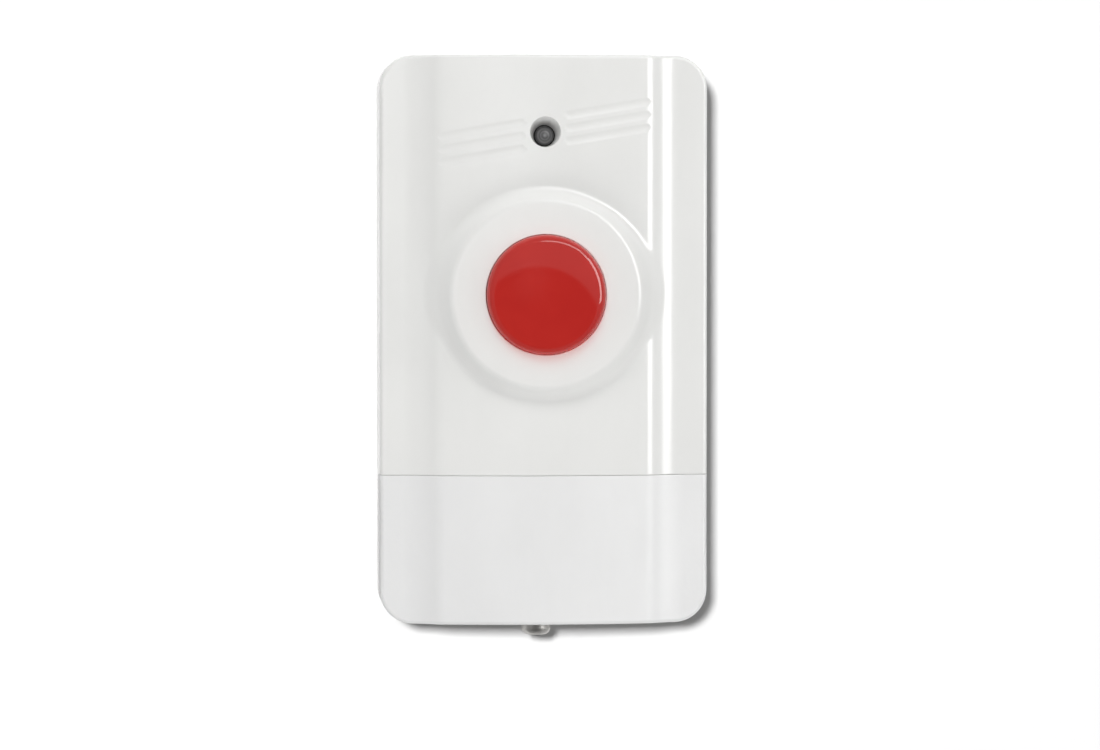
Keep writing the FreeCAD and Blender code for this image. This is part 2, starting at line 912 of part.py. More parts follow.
def groove_tools():
    """Six shallow slanted grooves that follow the crown, three on each side of the light."""
    width = size("groove_width").number
    cut = size("groove_cut").number
    tool_radius = (width * width / 4 + cut * cut) / (2 * cut)
    slope = size("groove_slope").number
    # A slanted cut through the crown is an ellipse, here its circle of curvature
    bend = size("crown_radius").number / math.cos(math.radians(slope)) ** 2
    centre_depth = size("panel_depth").number - bend
    ring = bend + tool_radius - cut
    start_angle = math.degrees(math.asin(size("groove_start").number / ring))
    end_angle = math.degrees(math.asin(size("groove_run_out").number / ring))
    tools = []
    count = int(size("groove_count").number)
    for step in range(count):
        height = light_z.number + (step - (count - 1) / 2) * size("groove_pitch").number
        axis = FreeCAD.Placement(
            FreeCAD.Vector(0, -centre_depth, height),
            FreeCAD.Rotation(FreeCAD.Vector(0, 1, 0), -slope),
        )
        for first in (start_angle, -end_angle):
            spin = FreeCAD.Rotation(FreeCAD.Vector(0, 0, 1), first - 90)
            tool = doc.addObject("Part::Torus", "groove_tool")
            tool.Radius1 = ring
            tool.Radius2 = tool_radius
            tool.Angle3 = end_angle - start_angle
            tool.Placement = axis.multiply(FreeCAD.Placement(FreeCAD.Vector(), spin))
            tools.append(tool)
        for angle in (start_angle, -start_angle):
            spin = FreeCAD.Rotation(FreeCAD.Vector(0, 0, 1), angle - 90)
            ball = doc.addObject("Part::Sphere", "groove_end")
            ball.Radius = tool_radius
            place = axis.multiply(FreeCAD.Placement(FreeCAD.Vector(), spin))
            ball.Placement = place.multiply(
                FreeCAD.Placement(FreeCAD.Vector(ring, 0, 0), FreeCAD.Rotation())
            )
            tools.append(ball)
    cutters = doc.addObject("Part::MultiFuse", "groove_tools")
    cutters.Shapes = tools
    doc.recompute()
    return cutters


def rear_case():
    body = new_body("rear_case")
    plate = size("rear_plate")
    parting = size("parting_depth")

    block = front_sketch(body)
    rectangle(block, -half_width, half_width, -half_height, half_height)
    pad(body, block, parting)
    for side in (-1, 1):
        for z in (-half_height, half_height):
            fillet(body, size("corner_radius"), runs_forward(side * half_width, z))
    fillet(body, size("rear_rim_radius"), on_rim(-TINY, TINY))

    for low, high, end in (
        (bulkhead_high, inner_top, inner_top),
        (inner_bottom, bulkhead_low, inner_bottom),
    ):
        room = front_sketch(body, plate)
        rectangle(room, -inner_half_width, inner_half_width, low, high)
        pocket(body, room, parting - plate)
        for side in (-1, 1):
            corner = runs_forward(side * inner_half_width, end)
            fillet(body, size("corner_radius") - size("shell_wall"), corner)

    tubes = front_sketch(body)
    for x, z in case_screw_places:
        circle(tubes, x, z, size("case_tube_radius"))
    pad(body, tubes, parting)

    # A lip on the wall's inner half lines the two cases up
    lip = front_sketch(body, parting)
    lip_outline(lip, size("lip_thickness"), bulkhead_high + size("lip_gap"))
    pad(body, lip, size("lip_height"))

    add_battery_cradle(body)
    add_contact_posts(body)
    add_screw_post(body)
    add_rails(body)
    cut_case_screw_seats(body)
    cut_wall_fixings(body)
    return body


def add_battery_cradle(body):
    """Two ribs across the bay, hollowed to the battery's round."""
    cup = size("battery_radius") + size("cradle_gap")
    reach = size("battery_radius") + size("cradle_margin")
    for x in (-size("cradle_x"), size("cradle_x")):
        ribs = side_sketch(body, x - size("cradle_thickness") / 2)
        rectangle(
            ribs,
            -size("cradle_top"),
            -(size("rear_plate") / 2),
            battery_z - reach,
            battery_z + reach,
        )
        pad(body, ribs, size("cradle_thickness"))
        hollow_sketch = side_sketch(body, x - size("cradle_thickness") / 2)
        circle(hollow_sketch, -battery_depth, battery_z, cup)
        pocket(body, hollow_sketch, size("cradle_thickness"))
    return body


def add_contact_posts(body):
    """Slotted posts that hold the edges of the two contact plates."""
    lip = size("contact_post_lip")
    gap = size("contact_slot_gap")
    near = size("battery_radius") + size("contact_post_gap")
    plate = size("contact_thickness")
    start = size("rear_plate") / 2
    posts = front_sketch(body, start)
    slots = front_sketch(body, size("rear_plate"))
    for face, side in ((plus_face, -1), (minus_face, 1)):
        low_x, high_x = ordered(face, face + side * plate)
        for end in (-1, 1):
            inner = battery_z + end * near
            outer = inner + end * size("contact_post_width")
            slot_end = battery_z + end * (size("contact_half_width") + gap)
            mouth = inner - end * gap
            rectangle(posts, low_x - lip, high_x + lip, *ordered(inner, outer))
            rectangle(slots, low_x - gap / 2, high_x + gap / 2, *ordered(mouth, slot_end))
    pad(body, posts, size("contact_post_depth") - start)
    pocket(body, slots, size("contact_post_depth") - size("rear_plate"))
    return body


def add_screw_post(body):
    """The post behind the cover's bottom wall that takes the cover screw."""
    start = size("rear_plate") / 2
    low = inner_bottom + size("post_gap")
    sketch = front_sketch(body, start)
    rectangle(
        sketch,
        cover_screw_x - size("post_width") / 2,
        cover_screw_x + size("post_width") / 2,
        low,
        low + size("post_length"),
    )
    pad(body, sketch, size("post_top") - start)
    hole = level_sketch(body, low - size("post_gap") / 2)
    radius = size("cover_screw_radius") + size("screw_hole_gap")
    circle(hole, cover_screw_x, -size("cover_screw_depth"), radius)
    pocket(body, hole, size("post_length") + size("post_gap"))
    return body


def add_rails(body):
    """Hooked rails along both sides of the bay, which hold the cover's ribs down."""
    outer = inner_half_width - size("rail_gap")
    inner = outer - size("rail_reach") - size("rail_lip")
    start = size("rear_plate") / 2
    for side in (-1, 1):
        sketch = level_sketch(body, inner_bottom + size("rail_end_gap") + size("corner_radius"))
        outline(
            sketch,
            [
                (side * inner, -start),
                (side * inner, -rail_flange_front),
                (side * outer, -rail_flange_front),
                (side * outer, -rail_flange_back),
                (side * (inner + size("rail_lip")), -rail_flange_back),
                (side * (inner + size("rail_lip")), -start),
            ],
        )
        span = bulkhead_low - inner_bottom - size("rail_end_gap") * 2 - size("corner_radius")
        pad(body, sketch, span)
    return body


def cut_case_screw_seats(body):
    holes = front_sketch(body, -LEAD)
    seats = front_sketch(body, -LEAD)
    for x, z in case_screw_places:
        circle(holes, x, z, size("case_screw_radius") + size("screw_clearance"))
        circle(seats, x, z, size("case_head_radius") + size("head_clearance"))
    pocket(body, holes, size("parting_depth") + 2 * LEAD)
    pocket(body, seats, size("case_seat_depth") + LEAD)
    return body


def cut_wall_fixings(body):
    """Two screw holes in the bay's floor and a keyhole slot near the top."""
    depth = size("rear_plate") + 2 * LEAD
    holes = front_sketch(body, -LEAD)
    for side in (-1, 1):
        x = side * size("wall_hole_spacing") / 2
        circle(holes, x, size("wall_hole_height") - half_height, size("wall_hole_radius"))
    pocket(body, holes, depth)
    keyhole_z = half_height - size("keyhole_inset")
    slot_z = keyhole_z + size("keyhole_slot_rise")
    radius = size("keyhole_slot_radius")
    head = front_sketch(body, -LEAD)
    circle(head, 0, keyhole_z, size("keyhole_head_radius"))
    pocket(body, head, depth)
    slot = front_sketch(body, -LEAD)
    rectangle(slot, -radius, radius, keyhole_z, slot_z)
    pocket(body, slot, depth)
    slot_end = front_sketch(body, -LEAD)
    circle(slot_end, 0, slot_z, radius)
    pocket(body, slot_end, depth)
    return body


def battery_cover():
    body = new_body("battery_cover")
    back = size("parting_depth") + size("slide_gap")
    wall = size("shell_wall")
    top = seam - size("seam_gap")

    block = front_sketch(body, back)
    rectangle(block, -half_width, half_width, -half_height, top)
    pad(body, block, FAR - back)
    for side in (-1, 1):
        fillet(body, size("corner_radius"), runs_forward(side * half_width, -half_height))

    tongue_inset = wall + size("tongue_gap")
    tongue_back = rail_flange_front + size("rail_gap")
    tongue_root = top - size("tongue_length")
    tongue = level_sketch(body, tongue_root)
    contour(tongue, tongue_inset, half_width - tongue_inset, tongue_back)
    pad(body, tongue, tongue_top - tongue_root)

    hollow(body, wall, inner_bottom, tongue_root, back - LEAD)
    for side in (-1, 1):
        inner = runs_forward(side * inner_half_width, inner_bottom)
        fillet(body, size("corner_radius") - wall, inner)
    throat = tongue_inset + size("tongue_thickness")
    hollow(body, throat, tongue_root - LEAD, tongue_top + LEAD, back - LEAD)
    rail_room = front_sketch(body, back)
    rectangle(rail_room, -inner_half_width, inner_half_width, tongue_root - LEAD, top + LEAD)
    pocket(body, rail_room, tongue_back - back)

    trim_front(body)
    fillet(body, size("rim_radius"), on_rim(back.number + LEAD, FAR))

    rib_low = inner_bottom + size("corner_radius") + size("rail_end_gap")
    for side in (-1, 1):
        rib = level_sketch(body, rib_low)
        inner_x = inner_half_width - size("rail_reach") - size("rail_gap") / 2
        outer_x = inner_half_width + wall / 2
        rib_front = size("rail_depth") + size("rail_thickness")
        ends = ordered(side * inner_x, side * outer_x)
        rectangle(rib, *ends, -rib_front, -size("rail_depth"))
        pad(body, rib, tongue_root - rib_low)

    hole = level_sketch(body, -half_height - LEAD)
    radius = size("cover_screw_radius") + size("screw_clearance")
    circle(hole, cover_screw_x, -size("cover_screw_depth"), radius)
    pocket(body, hole, wall + 2 * LEAD)
    return body


# The button


def button_cap():
    """A hollow dome with a stop flange, a stem for the switch and a ring for the spring."""
    body = new_body("button_cap")
    radius = size("button_radius")
    crown = size("button_crown_radius")
    shoulder = size("shoulder_radius")
    wall = size("button_wall")
    top = size("button_depth")
    flange_front = ledge_depth - size("stop_gap")
    flange_back = flange_front - size("stop_flange_thickness")
    crown_centre = top - crown

    # The shoulder's circle touches the crown from inside and the side wall
    across = radius - shoulder
    upward = root((crown - shoulder) * (crown - shoulder) - across * across)
    share = crown / (crown - shoulder)
    join_x = across * share
    join_depth = crown_centre + upward * share
    shoulder_depth = crown_centre + upward
    form = level_sketch(body, button_z)
    outline(
        form,
        [
            (0, -flange_back),
            (size("stop_flange_radius"), -flange_back),
            (size("stop_flange_radius"), -flange_front),
            (radius, -flange_front),
            (radius, -shoulder_depth),
            (join_x, -join_depth, shoulder, -1),
            (0, -top, crown, -1),
        ],
    )
    turn(body, form)

    inner_radius = radius - wall
    inner_crown = crown - wall
    rise = root(inner_crown * inner_crown - inner_radius * inner_radius)
    room = level_sketch(body, button_z)
    outline(
        room,
        [
            (0, -(flange_back - LEAD)),
            (inner_radius, -(flange_back - LEAD)),
            (inner_radius, -(crown_centre + rise)),
            (0, -(top - wall), inner_crown, -1),
        ],
    )
    turned_cut(body, room)

    stem_end = plunger_depth + size("press_travel") - size("tact_travel") + size("stem_gap")
    stem = front_sketch(body, stem_end)
    circle(stem, 0, button_z, size("stem_radius"))
    pad(body, stem, top - wall / 2 - stem_end)

    ring_middle = size("return_coil_radius")
    ring = front_sketch(body, size("seat_ring_depth"))
    circle(ring, 0, button_z, ring_middle + size("seat_ring_wall") / 2)
    circle(ring, 0, button_z, ring_middle - size("seat_ring_wall") / 2)
    ring_top = crown_centre + root(inner_crown * inner_crown - ring_middle * ring_middle)
    pad(body, ring, ring_top + wall / 2 - size("seat_ring_depth"))
    return body


def coil(label, wire, radius, end_radius, length, turns, closed_turns, leg=0):
    """Round wire wound up the Z axis from Z = 0, as a chain of arcs that run into each other.

    The closed turns at each end lie wire on wire, and the pitch eases in and out between them.
    With a leg, the wire starts and ends in a straight leg along +Y.
    """
    wire, radius, end_radius, length, turns, closed_turns, leg = (
        as_size(value).number for value in (wire, radius, end_radius, length, turns, closed_turns, leg)
    )
    closed_pitch = wire * CLOSED_PITCH if closed_turns else 0.0
    open_turns = turns - 2 * closed_turns
    rise = length - wire - closed_pitch * turns

    def height(turn):
        along = min(max(turn - closed_turns, 0.0), open_turns)
        if along < EASE_TURNS:
            eased = along * along / (2 * EASE_TURNS)
        elif along > open_turns - EASE_TURNS:
            eased = open_turns - EASE_TURNS - (open_turns - along) ** 2 / (2 * EASE_TURNS)
        else:
            eased = along - EASE_TURNS / 2
        return wire / 2 + closed_pitch * turn + rise * eased / (open_turns - EASE_TURNS)

    def point(turn):
        angle = 2 * math.pi * turn + math.pi
        here = radius + (end_radius - radius) * turn / turns
        return FreeCAD.Vector(here * math.cos(angle), here * math.sin(angle), height(turn))

    count = round(turns * ARCS_PER_TURN)
    stops = [turns * step / count for step in range(count + 1)]
    edges = [
        Part.Arc(point(first), point((first + last) / 2), point(last)).toShape()
        for first, last in zip(stops, stops[1:])
    ]
    if leg:
        foot = FreeCAD.Vector(0, leg, 0)
        edges.insert(0, Part.LineSegment(point(0) + foot, point(0)).toShape())
        edges.append(Part.LineSegment(point(turns), point(turns) + foot).toShape())
    first = edges[0]
    way = first.tangentAt(first.FirstParameter)
    section = Part.makeCircle(wire / 2, first.valueAt(first.FirstParameter), way)
    wound = doc.addObject("Part::Feature", label)
    wound.Label = label
    wound.Shape = Part.Wire(edges).makePipeShell([Part.Wire([section])], True, True)
    return wound


def placed(body, x, y, z, direction):
    """Puts the body's origin at x, y, z, tied to the sheet, with its Z axis along direction."""
    up = FreeCAD.Vector(0, 0, 1)
    turned = FreeCAD.Rotation(up, FreeCAD.Vector(*direction))
    body.Placement = FreeCAD.Placement(FreeCAD.Vector(), turned)
    for axis, place in zip("xyz", (x, y, z)):
        bind(body, f"Placement.Base.{axis}", place)
    doc.recompute()
    return body


def button_spring():
    """A compression spring whose ends run flat, between the board and the button's seat ring."""
    wound = coil(
        "button_spring",
        size("return_wire"),
        size("return_coil_radius"),
        size("return_coil_radius"),
        size("seat_ring_depth") - size("board_depth"),
        size("return_turns"),
        0,
    )
    return placed(wound, 0, -size("board_depth"), button_z, (0, -1, 0))


# The electronics


def circuit_board():
    body = new_body("circuit_board")
    board = front_sketch(body, board_back)
    rectangle(board, -half_board, half_board, board_low, board_high)
    for x, z in board_screw_places:
        circle(board, x, z, size("board_screw_radius") + size("screw_clearance"))
    for x, z in light_lead_places():
        circle(board, x, z, size("light_lead_hole"))
    for x, z in tact_leg_places():
        circle(board, x, z, size("tact_leg_hole"))
    for x, z in antenna_places():
        circle(board, x, z, size("antenna_wire") / 2 + size("antenna_hole_gap"))
    pad(body, board, size("board_thickness"))
    return body


def light_lead_places():
    half_pitch = size("light_lead_pitch") / 2
    return [(-half_pitch, lamp_z), (half_pitch, lamp_z)]


def tact_leg_places():
    across = size("tact_width") / 2 + size("tact_leg_offset")
    up = size("tact_leg_pitch") / 2
    return [(x, button_z + z) for x in (-across, across) for z in (-up, up)]


def tact_switch_base():
    body = new_body("tact_switch_base")
    half = size("tact_width") / 2
    form = front_sketch(body, size("board_depth"))
    rectangle(form, -half, half, button_z - half, button_z + half)
    pad(body, form, size("tact_base_height"))
    well_depth = size("tact_flange_thickness") + size("tact_travel") + size("tact_well_spare")
    well = front_sketch(body, tact_lid_depth - well_depth)
    circle(well, 0, button_z, size("tact_flange_radius") + size("tact_gap"))
    pocket(body, well, size("tact_base_height"))
    leg = size("tact_leg_width") / 2
    thick = size("tact_leg_thickness")
    legs = front_sketch(body, board_back - size("lead_tail"))
    roots = front_sketch(body, size("board_depth") + size("tact_leg_rise"))
    inner = half - size("tact_leg_root")
    outer = half + size("tact_leg_offset") + thick / 2
    for x, z in tact_leg_places():
        side = 1 if x.number > 0 else -1
        rectangle(legs, x - thick / 2, x + thick / 2, z - leg, z + leg)
        rectangle(roots, *ordered(side * inner, side * outer), z - leg, z + leg)
    below_root = size("lead_tail") + size("board_thickness") + size("tact_leg_rise")
    pad(body, legs, below_root + thick)
    pad(body, roots, thick)
    return body


def tact_switch_lid():
    body = new_body("tact_switch_lid")
    half = size("tact_width") / 2
    form = front_sketch(body, tact_lid_depth)
    rectangle(form, -half, half, button_z - half, button_z + half)
    circle(form, 0, button_z, size("tact_plunger_radius") + size("tact_gap"))
    pad(body, form, size("tact_lid_thickness"))
    return body


def tact_switch_plunger():
    body = new_body("tact_switch_plunger")
    flange_front = tact_lid_depth - size("tact_flange_gap")
    flange = front_sketch(body, flange_front - size("tact_flange_thickness"))
    circle(flange, 0, button_z, size("tact_flange_radius"))
    pad(body, flange, size("tact_flange_thickness"))
    stem = front_sketch(body, flange_front)
    circle(stem, 0, button_z, size("tact_plunger_radius"))
    pad(body, stem, plunger_depth - flange_front)
    return body


def status_light():
    """A round-headed light on two leads."""
    body = new_body("status_light")
    radius = size("light_radius")
    base = size("light_base_depth")
    top = base + size("light_length")
    form = level_sketch(body, lamp_z)
    outline(
        form,
        [
            (0, -base),
            (size("light_flange_radius"), -base),
            (size("light_flange_radius"), -(base + size("light_flange_thickness"))),
            (radius, -(base + size("light_flange_thickness"))),
            (radius, -(top - radius)),
            (0, -top, radius, -1),
        ],
    )
    turn(body, form)
    leads = front_sketch(body, board_back - size("lead_tail"))
    half_lead = size("light_lead_width") / 2
    for x, z in light_lead_places():
        rectangle(leads, x - half_lead, x + half_lead, z - half_lead, z + half_lead)
    pad(body, leads, base + size("light_flange_thickness") / 2 - board_back + size("lead_tail"))
    return body


def board_box(label, x, z, width, height, rise):
    """A rectangular block that stands on the board, centred at x, z."""
    body = new_body(label)
    form = front_sketch(body, size("board_depth"))
    rectangle(form, x - width / 2, x + width / 2, z - height / 2, z + height / 2)
    pad(body, form, rise)
    return body


def encoder_chip():
    """A flat package with a row of bent leads along each long side."""
    body = new_body("encoder_chip")
    x, z = size("chip_x"), board_low + size("chip_up")
    length, width = size("chip_length"), size("chip_width")
    thick = size("chip_lead_thickness")
    form = front_sketch(body, size("board_depth") + size("chip_lift"))
    rectangle(form, x - length / 2, x + length / 2, z - width / 2, z + width / 2)
    pad(body, form, size("chip_rise"))
    feet = front_sketch(body, size("board_depth"))
    shoulders = front_sketch(body, size("board_depth"))
    knee = size("chip_rise") / 2
    for side in (-1, 1):
        for number in range(int(size("chip_leads_a_side").number)):
            lead_x = x + (number - (size("chip_leads_a_side") - 1) / 2) * size("chip_lead_pitch")
            edge = z + side * (width / 2 - size("chip_lead_root"))
            elbow = z + side * (width / 2 + size("chip_lead_reach") / 2)
            tip = z + side * (width / 2 + size("chip_lead_reach"))
            inner = elbow - side * thick
            half_lead = size("chip_lead_width") / 2
            rectangle(feet, lead_x - half_lead, lead_x + half_lead, *ordered(inner, tip))
            rectangle(shoulders, lead_x - half_lead, lead_x + half_lead, *ordered(edge, elbow))
    pad(body, shoulders, knee)
    pad(body, feet, thick)
    return body


def ordered(first, second):
    return (first, second) if first.number < second.number else (second, first)


def resonator():
    """A round metal can with a rim, on the board."""
    body = new_body("saw_resonator")
    x, z = size("resonator_x"), board_high - size("resonator_drop")
    rim = front_sketch(body, size("board_depth"))
    circle(rim, x, z, size("resonator_rim_radius"))
    pad(body, rim, size("resonator_rim_thickness"))
    can = front_sketch(body, size("board_depth") + size("resonator_rim_thickness"))
    circle(can, x, z, size("resonator_radius"))
    pad(body, can, size("resonator_rise") - size("resonator_rim_thickness"))
    top = size("board_depth") + size("resonator_rise")
    fillet(body, size("resonator_edge_radius"), no_nearer_wall(top))
    return body


def reservoir_capacitor():
    """A round can on a square base with two cut corners."""
    body = new_body("reservoir_capacitor")
    x, z = size("reservoir_x"), board_low + size("reservoir_up")
    half = size("reservoir_base") / 2
    cut = size("reservoir_base") / 5
    base = front_sketch(body, size("board_depth"))
    outline(
        base,
        [
            (x - half, z - half),
            (x + half, z - half),
            (x + half, z + half - cut),
            (x + half - cut, z + half),
            (x - half + cut, z + half),
            (x - half, z + half - cut),
        ],
    )
    pad(body, base, size("reservoir_base_rise"))
    can = front_sketch(body, size("board_depth") + size("reservoir_base_rise"))
    circle(can, x, z, size("reservoir_radius"))
    pad(body, can, size("reservoir_rise") - size("reservoir_base_rise"))
    top = size("board_depth") + size("reservoir_rise")
    fillet(body, size("reservoir_edge_radius"), no_nearer_wall(top))
    return body


def transistor():
    """A small block with three flat leads."""
    body = new_body("rf_transistor")
    x, z = size("transistor_x"), board_high - size("transistor_drop")
    length, width = size("transistor_length"), size("transistor_width")
    form = front_sketch(body, size("board_depth") + size("transistor_lift"))
    rectangle(form, x - length / 2, x + length / 2, z - width / 2, z + width / 2)
    pad(body, form, size("transistor_rise"))
    leads = front_sketch(body, size("board_depth"))
    half_lead = size("transistor_lead_width") / 2
    for step, side in ((-1, -1), (1, -1), (0, 1)):
        lead_x = x + step * size("transistor_lead_pitch")
        root = z + side * (width / 2 - size("transistor_lead_root"))
        tip = z + side * (width / 2 + size("transistor_lead_reach"))
        rectangle(leads, lead_x - half_lead, lead_x + half_lead, *ordered(root, tip))
    pad(body, leads, size("transistor_lead_thickness"))
    return body


def chip_group(label, width, height, rise, places):
    """Several like blocks on the board, kept as one group of separate solids."""
    group = doc.addObject("Part::Compound", label)
    group.Label = label
    group.Links = [
        board_box(f"{label}_{number}", x, z, width, height, rise)
        for number, (x, z) in enumerate(places, start=1)
    ]
    return group


def passives():
    """The small chip resistors and capacitors round the transmitter and the encoder."""
    column = size("passive_column_x")
    top = board_high - size("passive_drop")
    pitch = size("passive_pitch")
    low = board_low + size("passive_up")
    resistors = [(column, top - pitch * step) for step in range(4)]
    resistors += [(-column + pitch * step, low) for step in range(2)]
    capacitors = [(-column, top - pitch * step) for step in range(4)]
    return [
        chip_group(
            "chip_resistors",
            size("passive_length"),
            size("passive_width"),
            size("resistor_rise"),
            resistors,
        ),
        chip_group(
            "chip_capacitors",
            size("passive_length"),
            size("passive_width"),
            size("capacitor_rise"),
            capacitors,
        ),
    ]


def antenna_places():
    """Where the antenna's two legs go through the board, the lower one first."""
    x = size("antenna_x")
    high = board_high - size("antenna_drop") - size("antenna_wire") / 2
    low = board_high - size("antenna_drop") - size("antenna_length") + size("antenna_wire") / 2
    return [(x - size("antenna_radius"), low), (x + size("antenna_radius"), high)]


def antenna():
    """A coil of thick wire that lies along the board on its two legs."""
    axis_depth = size("board_depth") + size("antenna_radius") + size("antenna_wire") / 2
    wound = coil(
        "antenna_coil",
        size("antenna_wire"),
        size("antenna_radius"),
        size("antenna_radius"),
        size("antenna_length"),
        size("antenna_turns"),
        0,
        axis_depth - board_back + size("lead_tail"),
    )
    low = board_high - size("antenna_drop") - size("antenna_length")
    return placed(wound, size("antenna_x"), -axis_depth, low, (0, 0, 1))


def electronics():
    return [
        circuit_board(),
        tact_switch_base(),
        tact_switch_lid(),
        tact_switch_plunger(),
        status_light(),
        encoder_chip(),
        resonator(),
        reservoir_capacitor(),
        transistor(),
        antenna(),
        *passives(),
    ]


# The battery and its contacts


def battery():
    body = new_body("battery")
    radius = size("battery_radius")
    can = side_sketch(body, plus_face + size("battery_tip_length"))
    circle(can, -battery_depth, battery_z, radius)
    pad(body, can, size("battery_length") - size("battery_tip_length"))
    tip = side_sketch(body, plus_face)
    circle(tip, -battery_depth, battery_z, size("battery_tip_radius"))
    pad(body, tip, size("battery_tip_length"))
    return body


def contact_plate(label, face, side):
    """A bent strip: an upright plate in the bay, a tail through the bulkhead, a foot on the board."""
    body = new_body(label)
    thick = size("contact_thickness")
    rise = size("contact_rise")
    half = size("contact_half_width")
    start = face if side > 0 else face - thick
    foot_low = board_low + size("contact_foot_up")
    foot_high = foot_low + size("contact_tail_width")
    plate = side_sketch(body, start)
    rectangle(
        plate, -(battery_depth + rise), -(battery_depth - rise), battery_z - half, battery_z + half
    )
    pad(body, plate, thick)
    tail = side_sketch(body, start)
    rectangle(
        tail,
        -(size("board_depth") + size("contact_tail_width")),
        -size("board_depth"),
        battery_z + half - size("contact_tail_overlap"),
        foot_high,
    )
    pad(body, tail, thick)
    foot = front_sketch(body, size("board_depth"))
    back = face + side * thick
    tip = back - side * size("contact_foot_length")
    rectangle(foot, *ordered(back, tip), foot_low, foot_high)
    pad(body, foot, thick)
    return body


def contact_spring():
    """A tapered spring with closed ends, wider at the minus contact than at the battery."""
    wound = coil(
        "negative_spring",
        size("contact_wire"),
        size("contact_spring_radius"),
        size("contact_spring_tip_radius"),
        size("contact_spring_length"),
        size("contact_spring_turns"),
        size("contact_closed_turns"),
    )
    return placed(wound, minus_face, -battery_depth, battery_z, (-1, 0, 0))


# Screws


def pan_screw(label, radius, length, head_radius, head_height):
    """A cross-recessed pan-head screw with its head's seat at the origin and its shank along Z."""
    body = new_body(label)
    form = front_sketch(body)
    outline(
        form,
        [
            (0, -head_height),
            (head_radius - head_height / 2, -head_height),
            (head_radius, -(head_height / 2), head_height / 2, 1),
            (head_radius, 0),
            (radius, 0),
            (radius, length - radius),
            (radius * SCREW_TIP, length),
            (0, length),
        ],
    )
    turn(body, form)
    reach, half_slot = head_radius * RECESS_REACH, head_radius * RECESS_HALF_WIDTH
    for across, up in ((reach, half_slot), (half_slot, reach)):
        recess = level_sketch(body, -head_height - LEAD)
        rectangle(recess, -across, across, -up, up)
        pocket(body, recess, head_height * RECESS_DEPTH + LEAD)
    return body


def screw_group(label, places, seat_depth, radius, length, head_radius, head_height):
    group = doc.addObject("Part::Compound", label)
    group.Label = label
    group.Links = [
        placed(
            pan_screw(f"{label}_{number}", radius, length, head_radius, head_height),
            x,
            -seat_depth,
            z,
            (0, -1, 0),
        )
        for number, (x, z) in enumerate(places, start=1)
    ]
    return group


def screws():
    case = screw_group(
        "case_screws",
        case_screw_places,
        size("case_seat_depth"),
        size("case_screw_radius"),
        size("case_screw_length"),
        size("case_head_radius"),
        size("case_head_height"),
    )
    board = screw_group(
        "board_screws",
        board_screw_places,
        board_back,
        size("board_screw_radius"),
        size("board_screw_length"),
        size("board_head_radius"),
        size("board_head_height"),
    )
    cover = pan_screw(
        "cover_screw",
        size("cover_screw_radius"),
        size("cover_screw_length"),
        size("cover_head_radius"),
        size("cover_head_height"),
    )
    placed(cover, cover_screw_x, -size("cover_screw_depth"), -half_height, (0, 0, 1))
    return [case, board, cover]


def check_all(parts):
    """Stops if any object has failed, or if a sub-part has no valid solid."""
    doc.recompute()
    for thing in doc.Objects:
        if "Invalid" in thing.State or "Error" in thing.State:
            raise RuntimeError(f"{thing.Label} failed: {thing.State}")
    for part in parts:
        shape = part.Shape
        if shape.isNull() or not shape.isValid() or not shape.Solids:
            raise RuntimeError(f"{part.Label} has no valid solid")


parts = [front_case(), rear_case(), battery_cover(), button_cap(), button_spring()]
parts += electronics()
parts += [
    battery(),
    contact_plate("positive_contact", plus_face, -1),
    contact_plate("negative_contact", minus_face, 1),
    contact_spring(),
]
parts += screws()
check_all(parts)
os.makedirs("parts", exist_ok=True)
for part in parts:
    part.Shape.exportStep(f"parts/{part.Label}.step")
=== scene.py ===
"""A wireless panic button on a pale wall: fine outer mouldings, materials, light and camera."""

import math

import bmesh
import bpy
import numpy
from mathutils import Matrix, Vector
from mathutils.geometry import delaunay_2d_cdt


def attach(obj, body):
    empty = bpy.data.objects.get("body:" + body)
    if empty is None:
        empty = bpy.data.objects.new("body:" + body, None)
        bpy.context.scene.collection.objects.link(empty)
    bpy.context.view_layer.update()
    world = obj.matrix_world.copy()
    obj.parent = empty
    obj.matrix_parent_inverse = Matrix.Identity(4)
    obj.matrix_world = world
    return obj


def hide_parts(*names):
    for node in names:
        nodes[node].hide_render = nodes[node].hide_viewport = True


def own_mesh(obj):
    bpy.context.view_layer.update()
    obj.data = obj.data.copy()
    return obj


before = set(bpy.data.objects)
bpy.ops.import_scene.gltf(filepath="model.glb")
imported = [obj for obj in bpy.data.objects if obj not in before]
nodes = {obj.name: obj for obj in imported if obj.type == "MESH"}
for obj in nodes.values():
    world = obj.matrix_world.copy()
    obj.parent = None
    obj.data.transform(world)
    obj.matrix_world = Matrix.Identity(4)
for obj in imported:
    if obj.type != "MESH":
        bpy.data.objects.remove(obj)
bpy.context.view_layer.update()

# Sizes in millimetres. Depth runs forward from the wall, x to the right and z up.
MM = 0.001
HALF_WIDTH = 25.0
HALF_HEIGHT = 43.25
CORNER = 5.0
RIM = 0.6
CASE_BACK = 6.0
COVER_BACK = 6.2
SEAM = -20.55
COVER_TOP = -20.58
TONGUE_ROOT = -21.7
CASE_SEAM_EDGE = 0.05
COVER_SEAM_EDGE = 0.24

# The front contour, from the crowned panel down to the side bands
PANEL_DEPTH = 17.0
CROWN = 94.0
PANEL_HALF = 15.2
EDGE = 4.0
FOOT = 8.0
FLANK_ANGLE = math.radians(35)
FLANK = 0.4
BAND_ANGLE = math.radians(2)

